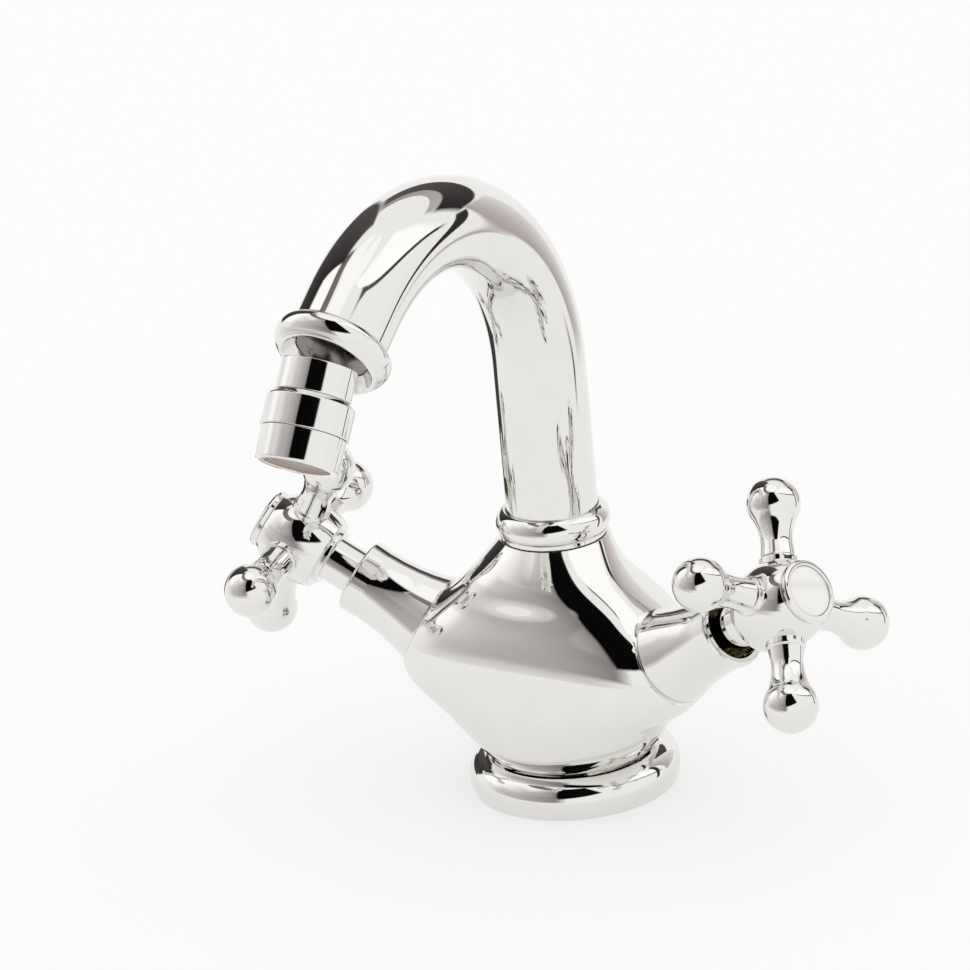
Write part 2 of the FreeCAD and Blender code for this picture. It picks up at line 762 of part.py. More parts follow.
def make_bell(name, side):
    """Make the flared cover that screws over the headwork."""
    foot = d.seam_distance
    foot_radius = d.seam_radius + d.bell_lip
    waist = foot + d.bell_waist_height
    inside = d.headwork_flange_radius + d.free_gap
    shoulder = foot + d.headwork_flange_height + d.hexagon_height + d.free_gap
    thread = d.headwork_neck_radius + d.fit_gap
    lip = d.bell_lip * 2
    flare = (d.bell_waist_height * d.bell_waist_height) / ((foot_radius - d.bell_waist_radius) * 2)
    turned(f"{name}_bell_cover", arm_place(side), [
        (inside, foot),
        (foot_radius - lip, foot),
        (foot_radius, foot + lip, lip),
        (d.bell_waist_radius, waist, -flare),
        (d.bell_mouth_radius, bell_mouth - d.bell_rim),
        (d.bell_mouth_radius - d.bell_rim, bell_mouth, d.bell_rim),
        (d.bell_bore_radius, bell_mouth),
        (d.bell_bore_radius, shoulder + d.bell_thread_height),
        (thread, shoulder + d.bell_thread_height),
        (thread, shoulder),
        (inside, shoulder),
    ])


# Cross handle, along each arm

shank_foot = drive_foot + d.free_gap
screw_seat = spindle_end + d.free_gap + d.socket_web


def make_handle(name, side, turn):
    """Make the cross handle with its screw and index button."""
    place = arm_place(side, 0.0, turn)
    body = new_body(f"{name}_cross_handle", place)
    flange_top = d.hub_start + d.hub_flange_height
    hub_middle = (flange_top + d.hub_front) / 2
    rear = crown(d.hub_radius - d.hub_rear_radius, hub_middle - flange_top)
    front = crown(d.hub_radius - d.hub_front_radius, d.hub_front - hub_middle)
    revolve(body, [
        (ON_AXIS, shank_foot),
        (d.shank_radius, shank_foot),
        (d.shank_radius, d.hub_start),
        (d.hub_flange_radius, d.hub_start),
        (d.hub_flange_radius, flange_top),
        (d.hub_rear_radius, flange_top),
        (d.hub_radius, hub_middle, rear),
        (d.hub_front_radius, d.hub_front, front),
        (ON_AXIS, d.hub_front),
    ])
    doc.recompute()
    bulb_join = d.bulb_distance - d.bulb_radius * 0.6
    bulb_width = d.bulb_radius * 0.8
    waist = crown(bulb_width - d.bulb_neck_radius, bulb_join - d.bulb_neck_distance)
    root = d.hub_radius / 2
    tip = d.bulb_distance + d.bulb_radius
    collar_edge = d.bulb_collar_distance - d.bulb_collar_edge
    lay_arm = Placement(Vector(0, d.cross_distance.value, 0), Rotation(Vector(0, 0, 1), -90))
    arm = revolve(body, [
        (ON_AXIS, root),
        (d.bulb_collar_radius, root),
        (d.bulb_collar_radius, collar_edge),
        (d.bulb_collar_radius - d.bulb_collar_edge, d.bulb_collar_distance, d.bulb_collar_edge),
        (d.bulb_neck_radius, d.bulb_neck_distance),
        (bulb_width, bulb_join, -waist),
        (d.bulb_radius, d.bulb_distance, d.bulb_radius),
        (ON_AXIS, tip, d.bulb_radius),
    ], offset=lay_arm)
    doc.recompute()
    polar_pattern(body, arm, HANDLE_ARMS)
    doc.recompute()
    socket = regular_polygon(body, 4, d.drive_square + d.fit_gap * 2, shank_foot)
    extrude(body, socket, spindle_end + d.free_gap - shank_foot, "Pocket", backwards=True)
    doc.recompute()
    revolve(body, [
        (ON_AXIS, shank_foot),
        (d.screw_radius + d.free_gap, shank_foot),
        (d.screw_radius + d.free_gap, screw_seat),
        (d.counterbore_radius, screw_seat),
        (d.counterbore_radius, d.hub_front),
        (ON_AXIS, d.hub_front),
    ], "Groove")
    driver = d.screw_radius * 0.8
    head_top = screw_seat + d.screw_head_height
    turned(f"{name}_handle_screw", place, [
        (ON_AXIS, screw_seat - d.screw_length),
        (d.screw_radius, screw_seat - d.screw_length),
        (d.screw_radius, screw_seat),
        (d.screw_head_radius, screw_seat),
        (d.screw_head_radius, head_top),
        (driver, head_top),
        (driver, head_top - d.screw_head_height / 2),
        (ON_AXIS, head_top - d.screw_head_height / 2),
    ])
    plug = d.counterbore_radius - d.fit_gap
    bezel_top = d.hub_front + d.bezel_height
    well = d.bezel_radius - d.bezel_rim
    floor = bezel_top - d.index_recess
    turned(f"{name}_index_bezel", place, [
        (ON_AXIS, d.hub_front - d.bezel_plug_depth),
        (plug, d.hub_front - d.bezel_plug_depth),
        (plug, d.hub_front),
        (d.bezel_foot_radius, d.hub_front),
        (d.bezel_radius, bezel_top - d.bezel_round),
        (d.bezel_radius - d.bezel_round, bezel_top, d.bezel_round),
        (well, bezel_top),
        (well, floor),
        (ON_AXIS, floor),
    ])
    face = bezel_top - d.index_crown
    edge = well - d.fit_gap
    turned(f"{name}_index_disc", place, [
        (ON_AXIS, floor),
        (edge, floor),
        (edge, face),
        (ON_AXIS, face + d.index_crown, crown(d.index_crown, edge)),
    ])


# Spout

thrust_top = neck_top + d.washer_height
tube_foot = thrust_top + d.spigot_flange_height
tube_bore = d.tube_radius - d.tube_wall


def make_spout_tube():
    """Sweep the tube up, over the bend and down to the outlet."""
    body = new_body("spout_tube", UPRIGHT)
    path = new_sketch(body, "YZ_Plane")
    bend = math.radians(d.bend_angle.value)
    foot = Vector(0, tube_foot.value, 0)
    knee = Vector(0, d.bend_start.value, 0)
    centre = Vector(-d.bend_radius.value, d.bend_start.value, 0)
    brow = centre + Vector(math.cos(bend), math.sin(bend), 0) * d.bend_radius.value
    tip = brow + Vector(-math.sin(bend), math.cos(bend), 0) * d.tail_length.value
    rise = path.addGeometry(Part.LineSegment(foot, knee), False)
    circle = Part.Circle(centre, Vector(0, 0, 1), d.bend_radius.value)
    arch = path.addGeometry(Part.ArcOfCircle(circle, 0.0, bend), False)
    tail = path.addGeometry(Part.LineSegment(brow, tip), False)
    pin_corner(path, rise, 1, ON_AXIS, tube_foot)
    pin_corner(path, rise, 2, ON_AXIS, d.bend_start)
    path.addConstraint(Sketcher.Constraint("Coincident", rise, 2, arch, 1))
    path.addConstraint(Sketcher.Constraint("Coincident", arch, 2, tail, 1))
    pin_corner(path, arch, 3, -d.bend_radius, d.bend_start)
    cosine = Size(math.cos(bend), f"cos({d.bend_angle.text})")
    sine = Size(math.sin(bend), f"sin({d.bend_angle.text})")
    pin_corner(path, arch, 2, d.bend_radius * (cosine - 1.0), None)
    pin_corner(path, tail, 2, d.bend_radius * (cosine - 1.0) - d.tail_length * sine,
               d.bend_start + d.bend_radius * sine + d.tail_length * cosine)
    wall = round_holes(body, tube_foot, [(ON_AXIS, ON_AXIS, d.tube_radius), (ON_AXIS, ON_AXIS, tube_bore)])
    pipe = body.newObject("PartDesign::AdditivePipe", "pipe")
    pipe.Profile = wall
    pipe.Spine = (path, [])
    path.Visibility = False


def make_spout():
    """Make the spout with its foot, seals and collar."""
    make_spout_tube()
    shaft = d.spout_bearing_radius - d.running_gap
    bearing_floor = neck_top - d.spout_bearing_depth
    spigot_foot = bearing_floor + d.free_gap
    groove = shaft - d.spout_ring_wire
    half = d.spout_ring_wire / 2 + d.fit_gap
    first = spigot_foot + d.spout_ring_pitch / 2
    second = first + d.spout_ring_pitch
    flange = d.neck_thread_radius - d.free_gap
    sleeve = tube_bore - d.fit_gap
    corners = [(d.spout_bore_radius, spigot_foot), (shaft, spigot_foot)]
    for middle in (first, second):
        corners += [(shaft, middle - half), (groove, middle - half),
                    (groove, middle + half), (shaft, middle + half)]
    corners += [(shaft, thrust_top), (flange, thrust_top), (flange, tube_foot), (sleeve, tube_foot),
                (sleeve, tube_foot + d.spout_sleeve_height),
                (d.spout_bore_radius, tube_foot + d.spout_sleeve_height)]
    turned("spout_spigot", UPRIGHT, corners)
    ring_radius = groove + d.fit_gap / 2 + d.spout_ring_wire / 2
    rings = [torus("spout_ring", ring_radius, d.spout_ring_wire - d.fit_gap / 2,
                   Placement(Vector(0, 0, height.value), Rotation())) for height in (first, second)]
    keep("spout_o_rings", joined("Part::Compound", "spout_o_rings", rings))
    turned("thrust_washer", UPRIGHT, [
        (d.spout_bearing_radius, neck_top),
        (flange, neck_top),
        (flange, thrust_top),
        (d.spout_bearing_radius, thrust_top),
    ])
    thread = d.neck_thread_radius + d.fit_gap
    foot = d.neck_height + d.collar_lip_gap
    skirt_top = foot + d.collar_skirt_height
    band = d.neck_height + d.collar_band_height
    top = d.neck_height + d.collar_top
    lip = tube_foot + d.running_gap
    mouth = d.tube_radius + d.running_gap
    turned("spout_collar", UPRIGHT, [
        (thread, foot),
        (d.collar_skirt_radius, foot),
        (d.collar_skirt_radius, skirt_top),
        (d.collar_radius, band, crown(d.collar_radius - d.collar_skirt_radius, band - skirt_top)),
        (d.collar_top_radius, top, crown(d.collar_radius - d.collar_top_radius, top - band)),
        (mouth, top),
        (mouth, lip),
        (thread, lip),
    ])


# Outlet ring and swivel ball

def make_outlet():
    """Make the flared bead ring of the outlet and the ball stem that screws into it."""
    place = outlet_place()
    sleeve = tube_bore - d.fit_gap
    tube_grip = d.tube_radius + d.fit_gap
    sleeve_end = -(d.outlet_rise + d.outlet_sleeve_length)
    top_inset = d.outlet_radius - tube_grip
    drop_inset = d.outlet_radius - d.outlet_lip_radius
    cup = d.outlet_lip_radius - d.outlet_lip_wall
    turned("outlet_ring", place, [
        (d.outlet_thread_radius, sleeve_end),
        (sleeve, sleeve_end),
        (sleeve, ON_AXIS),
        (tube_grip, ON_AXIS),
        (tube_grip, -d.outlet_rise),
        (d.outlet_radius, ON_AXIS, crown(top_inset, d.outlet_rise)),
        (d.outlet_lip_radius, d.outlet_drop, crown(drop_inset, d.outlet_drop)),
        (cup, d.outlet_drop + d.outlet_lip_round, d.outlet_lip_wall),
        (d.stem_flange_radius + d.free_gap, d.stem_flange_height, -d.outlet_radius),
        (d.stem_flange_radius + d.free_gap, ON_AXIS),
        (d.outlet_thread_radius, ON_AXIS),
    ])
    thread = d.outlet_thread_radius - d.fit_gap
    ball = d.ball_drop
    meet = sphere_width(d.ball_radius, d.ball_neck_radius)
    bore_meet = sphere_width(d.ball_radius, d.stem_bore_radius)
    flange = d.stem_flange_height
    body = new_body("swivel_ball", place)
    corners = [
        (d.stem_bore_radius, -d.stem_thread_length),
        (thread, -d.stem_thread_length),
        (thread, ON_AXIS),
        (d.stem_flange_radius, ON_AXIS),
        (d.stem_flange_radius, flange),
        (d.stem_root_radius, flange),
        (d.ball_neck_radius, ball - meet, -d.stem_curve_radius),
        (d.ball_radius, ball, d.ball_radius),
        (d.stem_bore_radius, ball + bore_meet, d.ball_radius),
    ]
    revolve(body, corners)


# Swivel aerator

seat_outer = d.ball_radius + d.fit_gap + d.seat_wall


def make_aerator():
    """Make the pieces that swivel on the ball."""
    place = aerator_place()
    inner = d.ball_radius + d.fit_gap
    reach = d.seat_reach
    turned("ball_seat", place, [
        (sphere_width(inner, reach), -reach, -inner),
        (sphere_width(seat_outer, reach), -reach),
        (seat_outer, ON_AXIS, seat_outer),
        (sphere_width(seat_outer, reach), reach, seat_outer),
        (sphere_width(inner, reach), reach),
        (inner, ON_AXIS, -inner),
    ])
    cavity = seat_outer + d.fit_gap
    throat_height = sphere_width(cavity, d.cap_throat_radius)
    turned("swivel_cap", place, [
        (d.cap_mouth_radius, -d.cap_rise),
        (d.cap_radius, -d.cap_rise),
        (d.cap_radius, d.cap_drop),
        (sphere_width(cavity, d.cap_drop), d.cap_drop),
        (cavity, ON_AXIS, -cavity),
        (d.cap_throat_radius, -throat_height, -cavity),
    ])
    seal_path = sphere_width(d.ball_radius + d.fit_gap + d.seal_wire / 2, d.seal_drop)
    seal_room = d.seal_wire / 2 + d.fit_gap
    seal_outer = seal_path + seal_room
    floor = d.seal_drop + seal_room
    cap_seat = d.cap_drop + d.fit_gap
    neck = d.housing_thread_radius + d.fit_gap
    gasket_floor = floor + d.carrier_web
    gasket_top = gasket_floor + d.aerator_gasket_height
    turned("swivel_carrier", place, [
        (d.carrier_bore_radius, floor),
        (seal_outer, floor),
        (seal_outer, sphere_width(cavity, seal_outer)),
        (sphere_width(cavity, cap_seat), cap_seat, -cavity),
        (d.cap_radius, cap_seat),
        (d.carrier_radius, d.carrier_shoulder),
        (d.carrier_radius, d.carrier_end),
        (neck, d.carrier_end),
        (neck, gasket_floor),
        (d.carrier_bore_radius, gasket_floor),
    ])
    seal_place = place.multiply(Placement(Vector(0, 0, d.seal_drop.value), Rotation()))
    keep("ball_seal", torus("ball_seal", seal_path, d.seal_wire, seal_place))
    turned("aerator_gasket", place, [
        (d.carrier_bore_radius, gasket_floor),
        (neck - d.fit_gap, gasket_floor),
        (neck - d.fit_gap, gasket_top),
        (d.carrier_bore_radius, gasket_top),
    ])
    mouth = d.carrier_end + d.fit_gap + d.housing_length
    mesh_face = mouth - d.mesh_recess
    ledge = d.housing_bore_radius - d.insert_ledge
    insert_top = mesh_face - d.mesh_height - d.insert_height
    round_edge = d.housing_rim / 3
    turned("aerator_housing", place, [
        (ledge, gasket_top),
        (d.housing_thread_radius, gasket_top),
        (d.housing_thread_radius, d.carrier_end + d.fit_gap),
        (d.housing_radius, d.carrier_end + d.fit_gap),
        (d.housing_mouth_radius, mouth - round_edge),
        (d.housing_mouth_radius - round_edge, mouth, round_edge),
        (d.housing_bore_radius, mouth),
        (d.housing_bore_radius, insert_top),
        (ledge, insert_top),
    ])
    body = turned("aerator_insert", place, [
        (ON_AXIS, insert_top),
        (d.housing_bore_radius - d.fit_gap, insert_top),
        (d.housing_bore_radius - d.fit_gap, insert_top + d.insert_height),
        (ON_AXIS, insert_top + d.insert_height),
    ])
    doc.recompute()
    jet = round_holes(body, insert_top, [(d.jet_ring_radius, ON_AXIS, d.jet_radius)])
    hole = extrude(body, jet, d.insert_height, "Pocket", backwards=True)
    doc.recompute()
    polar_pattern(body, hole, JET_COUNT)
    turned("aerator_mesh", place, [
        (ON_AXIS, mesh_face - d.mesh_height),
        (d.housing_bore_radius - d.fit_gap, mesh_face - d.mesh_height),
        (d.housing_bore_radius - d.fit_gap, mesh_face),
        (ON_AXIS, mesh_face),
    ])


make_base()
make_body()
for side_name, side_sign in SIDES.items():
    handle_turn = SIZES[f"{side_name}_turn"]
    make_headwork(side_name, side_sign)
    make_spindle(side_name, side_sign, handle_turn)
    make_bell(side_name, side_sign)
    make_handle(side_name, side_sign, handle_turn)
make_spout()
make_outlet()
make_aerator()
doc.recompute()

# Every object has to be sound before anything is written

failed = [item.Name for item in doc.Objects if "Invalid" in item.State or "Error" in item.State]
for label, node in nodes.items():
    shape = node.Shape
    if shape.isNull() or not shape.isValid() or shape.Volume <= 0:
        failed.append(label)
if failed:
    raise RuntimeError("pieces that did not build: " + ", ".join(failed))

os.makedirs("parts", exist_ok=True)
for label, node in nodes.items():
    node.Shape.exportStep(f"parts/{label}.step")
    print(f"{label}: {len(node.Shape.Solids)} solid(s), {node.Shape.Volume:.1f} mm3")
print(f"{len(nodes)} nodes")
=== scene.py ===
import json
import logging
import math
from collections.abc import Callable, Mapping, Sequence
from dataclasses import dataclass
from enum import Enum

import bpy
import numpy as np
from mathutils import Matrix, Vector


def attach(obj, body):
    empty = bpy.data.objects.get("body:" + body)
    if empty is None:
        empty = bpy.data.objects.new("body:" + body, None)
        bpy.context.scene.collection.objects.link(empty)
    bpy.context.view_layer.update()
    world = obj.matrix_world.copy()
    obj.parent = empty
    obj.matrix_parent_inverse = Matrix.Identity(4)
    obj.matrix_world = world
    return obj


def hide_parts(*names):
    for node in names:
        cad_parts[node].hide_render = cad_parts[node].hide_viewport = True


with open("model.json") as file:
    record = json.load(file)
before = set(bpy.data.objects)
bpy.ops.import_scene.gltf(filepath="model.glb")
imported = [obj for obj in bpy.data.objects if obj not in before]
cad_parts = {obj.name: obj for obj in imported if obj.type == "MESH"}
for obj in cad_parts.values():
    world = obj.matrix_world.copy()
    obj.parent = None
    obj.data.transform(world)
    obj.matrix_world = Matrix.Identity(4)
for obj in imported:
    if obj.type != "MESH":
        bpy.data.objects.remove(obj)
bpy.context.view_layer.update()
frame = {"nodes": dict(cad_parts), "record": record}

LOG = logging.getLogger("bidet_mixer")

MM = 0.001  # the scene is in metres, the sizes below are in millimetres
UP = Vector((0.0, 0.0, 1.0))
HOME = Matrix.Identity(4)  # frame of the whole tap
TURN_STEPS = 128  # facets round a turned piece
BULB_STEPS = 80  # facets round a bulb of a handle
BORE_STEPS = 64  # facets round a bore
ARC_STEP = math.radians(6.0)  # facets along the arcs of an outline
ARC_LEAST = 4  # fewest facets of an arc
EASE_PARTS = (0.2, 0.4, 0.6, 0.8)  # points on an eased corner
EASE_ROOM = 0.45  # share of a stretch that the easing of one corner may take
SUPPORT_ROOM = 0.3  # share of a straight run that a support point may stand in
POINT_GAP = 1e-3  # least distance of two points of an outline, in millimetres
CUT_GAP = 1e-4  # the same where a stretch is cut back
TINY = 1e-6  # what counts as nothing, in millimetres
SMOOTH_LIMIT = math.radians(38.0)  # flatter edges are shaded smooth
CORNER_LIMIT = math.radians(12.0)  # sharper corners of an outline are eased
MERGE_DISTANCE = 1e-6  # vertices closer than this are one, in metres
CARD_CELLS = 36  # cells along each side of a card
WHITE = "#FFFFFF"

Corner = tuple[float, ...]
Edge = tuple[tuple[float, float], tuple[float, float]]
Piece = bpy.types.Object
Tree = bpy.types.NodeTree
Socket = bpy.types.NodeSocket


class Side(Enum):
    """The two arms of the mixer, with the sign of their X direction."""

    LEFT = -1
    RIGHT = 1


def moved(x: float, y: float, z: float) -> Matrix:
    """Give the frame that stands at a place in millimetres."""
    return Matrix.Translation(Vector((x, y, z)) * MM)


def rotated(degrees: float, axis: str) -> Matrix:
    """Give the frame that is turned about one of its axes."""
    return Matrix.Rotation(math.radians(degrees), 4, axis)


# Outlines and turned pieces


def arc_points(start: Vector, end: Vector, radius: float) -> list[Vector]:
    """Sample the smaller arc between two corners of an outline.

    Args:
        start: First corner.
        end: Last corner.
        radius: Radius in millimetres, positive where the arc stands out of the piece.

    Returns:
        The points of the arc, both corners among them.
    """
    chord = end - start
    half = chord.length / 2
    left = Vector((-chord.y, chord.x)).normalized()
    reach = math.sqrt(max(radius * radius - half * half, 0.0))
    centre = (start + end) / 2 + left * math.copysign(reach, radius)
    sweep = math.copysign(2 * math.asin(min(half / abs(radius), 1.0)), radius)
    count = max(ARC_LEAST, math.ceil(abs(sweep) / ARC_STEP))
    return [centre + Matrix.Rotation(sweep * i / count, 2) @ (start - centre) for i in range(count + 1)]


def straight_points(start: Vector, end: Vector, support: float) -> list[Vector]:
    """Sample a straight run, with a point near each end to keep its shading flat.

    Args:
        start: First corner.
        end: Last corner.
        support: Distance of the extra points from the ends, in millimetres.

    Returns:
        The points of the run, both corners among them.
    """
    share = min(SUPPORT_ROOM, support / max((end - start).length, TINY))
    return [start.lerp(end, part) for part in (0.0, share, 0.5, 1.0 - share, 1.0)]


def run_length(points: Sequence[Vector]) -> float:
    """Add up the length of a row of points."""
    return sum((b - a).length for a, b in zip(points, points[1:]))


def shortened(points: Sequence[Vector], head: float, tail: float) -> list[Vector]:
    """Cut a row of points back at both ends.

    Args:
        points: The row of points.
        head: Length to cut off at the start, in millimetres.
        tail: Length to cut off at the end, in millimetres.

    Returns:
        The row that is left.
    """
    finish = run_length(points) - tail
    kept: list[Vector] = []
    walked = 0.0
    for a, b in zip(points, points[1:]):
        step = (b - a).length
        low, high = max(head, walked), min(finish, walked + step)
        if high >= low and step > 0.0:
            for mark in (low, high):
                spot = a.lerp(b, (mark - walked) / step)
                if not kept or (spot - kept[-1]).length > CUT_GAP:
                    kept.append(spot)
        walked += step
    return kept


def rounded_outline(corners: Sequence[Corner], edge: float) -> tuple[list[Vector], bool]:
    """Trace an outline with its sharp corners eased, as polishing leaves them.

    Args:
        corners: Corners (across, up) or (across, up, arc radius), anticlockwise. The radius belongs
            to the stretch that arrives at the corner. An outline that meets the axis starts and ends
            on it.
        edge: Length of the easing on each side of a sharp corner, in millimetres.

    Returns:
        The traced points, and whether they close on themselves away from the axis.
    """
    spots = [Vector(corner[:2]) for corner in corners]
    stretches = [
        arc_points(start, end, corner[2]) if len(corner) == 3 else straight_points(start, end, edge * 2)
        for start, end, corner in zip(spots[-1:] + spots, spots, corners)]
    following = stretches[1:] + stretches[:1]
    closed = spots[0].x > TINY
    cuts: list[float] = []
    for spot, arriving, leaving in zip(spots, stretches, following):
        turn = (arriving[-1] - arriving[-2]).angle(leaving[1] - leaving[0])
        room = EASE_ROOM * min(run_length(arriving), run_length(leaving))
        cuts.append(min(edge, room) if turn > CORNER_LIMIT and spot.x > TINY else 0.0)
    traced: list[Vector] = []
    for index in range(0 if closed else 1, len(corners)):
        traced += shortened(stretches[index], cuts[index - 1], cuts[index])
        if cuts[index] > 0.0:
            corner, last = spots[index], traced[-1].copy()
            beyond = shortened(following[index], cuts[index], 0.0)[0]
            for part in EASE_PARTS:
                traced.append(last.lerp(corner, part).lerp(corner.lerp(beyond, part), part))
    spaced = [traced[0]]
    for spot in traced[1:]:
        if (spot - spaced[-1]).length > POINT_GAP:
            spaced.append(spot)
    if closed and (spaced[0] - spaced[-1]).length < POINT_GAP:
        spaced.pop()
    return spaced, closed


def fresh(add: Callable[..., set[str]], **settings: object) -> Piece:
    """Add a primitive with nothing else selected.

    Args:
        add: Operator that adds it.
        settings: Settings of the operator.

    Returns:
        The new object.
    """
    bpy.ops.object.select_all(action="DESELECT")
    add(**settings)
    return bpy.context.object


def edit_all() -> None:
    """Go into edit mode with all vertices selected."""
    bpy.ops.object.mode_set(mode="EDIT")
    bpy.ops.mesh.select_mode(type="VERT")
    bpy.ops.mesh.select_all(action="SELECT")


def extrude(step: Vector) -> None:
    """Draw the selection out by a step in metres."""
    bpy.ops.mesh.extrude_region_move(TRANSFORM_OT_translate={"value": step})


def start_wire(points: Sequence[Vector], closed: bool) -> None:
    """Lay an outline as a wire in the XZ plane by extruding one vertex from corner to corner.

    Args:
        points: Points (across, up) in millimetres.
        closed: Whether the last point joins the first.
    """
    places = [Vector((p.x, 0.0, p.y)) * MM for p in points]
    wire = fresh(bpy.ops.mesh.primitive_plane_add, size=MM)
    edit_all()
    bpy.ops.mesh.merge(type="CENTER")
    bpy.ops.transform.translate(value=places[0])
    for here, there in zip(places, places[1:]):
        extrude(there - here)
    if closed:
        bpy.ops.object.mode_set(mode="OBJECT")
        wire.data.vertices[0].select = True
        bpy.ops.object.mode_set(mode="EDIT")
        bpy.ops.mesh.edge_face_add()
    bpy.ops.mesh.select_all(action="SELECT")


def close_mesh() -> None:
    """Merge what a spin doubled, turn the faces outwards and leave edit mode."""
    bpy.ops.mesh.select_all(action="SELECT")
    bpy.ops.mesh.remove_doubles(threshold=MERGE_DISTANCE)
    bpy.ops.mesh.normals_make_consistent(inside=False)
    bpy.ops.object.mode_set(mode="OBJECT")


def only(piece: Piece) -> None:
    """Make one piece the only selected and active object.

    Args:
        piece: The piece.
    """
    bpy.ops.object.select_all(action="DESELECT")
    piece.select_set(True)
    bpy.context.view_layer.objects.active = piece


def modify(piece: Piece, kind: str, **settings: object) -> None:
    """Put a modifier on a piece and apply it.

    Args:
        piece: The piece.
        kind: Type name of the modifier.
        settings: Values of its properties.
    """
    only(piece)
    change = piece.modifiers.new(kind.lower(), kind)
    for key, value in settings.items():
        setattr(change, key, value)
    bpy.ops.object.modifier_apply(modifier=change.name)


def set_down(name: str, place: Matrix) -> Piece:
    """Name the active piece, put its place into its mesh and smooth its shading.

    Args:
        name: Name of the piece.
        place: Frame that the piece was modelled in.

    Returns:
        The piece, with its object at the origin.
    """
    piece = bpy.context.object
    only(piece)
    piece.name = name
    piece.data.name = name
    piece.matrix_world = place
    bpy.ops.object.transform_apply(location=True, rotation=True, scale=True)
    bpy.ops.object.shade_smooth_by_angle(angle=SMOOTH_LIMIT)
    return piece


def turned(name: str, corners: Sequence[Corner], place: Matrix, edge: float = 0.2,
           steps: int = TURN_STEPS) -> Piece:
    """Turn a piece from one outline about the Z axis of a frame.

    Args:
        name: Name of the piece.
        corners: Outline in millimetres, as rounded_outline takes it.
        place: Frame of the piece.
        edge: Easing of its sharp edges, in millimetres.
        steps: Facets round the piece.

    Returns:
        The finished piece.
    """
    points, closed = rounded_outline(corners, edge)
    start_wire(points, closed)
    bpy.ops.mesh.spin(steps=steps, angle=2 * math.pi, center=(0.0, 0.0, 0.0), axis=UP)
    close_mesh()
    return set_down(name, place)


def joined(name: str, members: Sequence[Piece]) -> Piece:
    """Join several pieces into the first of them.

    Args:
        name: Name of the joined piece.
        members: The pieces.

    Returns:
        The first piece, which now holds them all.
    """
    only(members[0])
    for member in members:
        member.select_set(True)
    bpy.ops.object.join()
    members[0].name = name
    members[0].data.name = name
    return members[0]


def crown(inset: float, rise: float) -> float:
    """Radius of an arc that is upright at its outer end and falls inset over its rise."""
    return (inset * inset + rise * rise) / (2 * inset)


def bead(start: Corner, belly: Corner, end: Corner) -> list[Corner]:
    """Trace a round bead as two arcs that are upright where they meet.

    Args:
        start: Corner (across, up) at its foot.
        belly: Its widest place.
        end: Corner at its head.

    Returns:
        The three corners, with the radii of both arcs.
    """
    lower = crown(belly[0] - start[0], belly[1] - start[1])
    upper = crown(belly[0] - end[0], end[1] - belly[1])
    return [start, (*belly, lower), (*end, upper)]


def sphere_width(radius: float, height: float) -> float:
    """Half width of a ball at a height from its middle."""
    return math.sqrt(radius * radius - height * height)


# Materials

PATCH_NOISE = {"Detail": 3.0, "Roughness": 0.55}
PATCH_RANGE = {"From Min": 0.35, "From Max": 0.65}  # where most values of the noise lie
GRAIN_NOISE = {"Detail": 2.0}
GLAZE_ROUGHNESS = 0.04
MIX_FROM, MIX_TO, MIX_RESULT = 6, 7, 2  # colour sockets of a mix node


def linear(code: str) -> tuple[float, float, float, float]:
    """Turn an sRGB hex colour into linear values with full alpha.

    Args:
        code: The colour, a hash sign and six hex digits.

    Returns:
        Red, green, blue and alpha, each from 0 to 1.
    """
    parts = [int(code[i:i + 2], 16) / 255 for i in (1, 3, 5)]
    parts = [c / 12.92 if c <= 0.04045 else ((c + 0.055) / 1.055) ** 2.4 for c in parts]
    return parts[0], parts[1], parts[2], 1.0


def new_material(name: str) -> tuple[bpy.types.Material, Tree]:
    """Make a material whose node tree is empty.

    Args:
        name: Name of the material.

    Returns:
        The material and its node tree.
    """
    material = bpy.data.materials.new(name)
    material.use_nodes = True
    material.node_tree.nodes.clear()
    return material, material.node_tree


def add_node(tree: Tree, kind: str, inputs: Mapping[str | int, object]) -> bpy.types.Node:
    """Add one shader node.

    Args:
        tree: Tree of the material.
        kind: Type name of the node.
        inputs: Values of its properties, or of its inputs where no property has that name. A socket
            of another node is linked to the input.

    Returns:
        The node.
    """
    node = tree.nodes.new(kind)
    for key, value in inputs.items():
        if isinstance(value, Socket):
            tree.links.new(value, node.inputs[key])
        elif isinstance(key, str) and hasattr(node, key):
            setattr(node, key, value)
        else:
            node.inputs[key].default_value = value
    return node


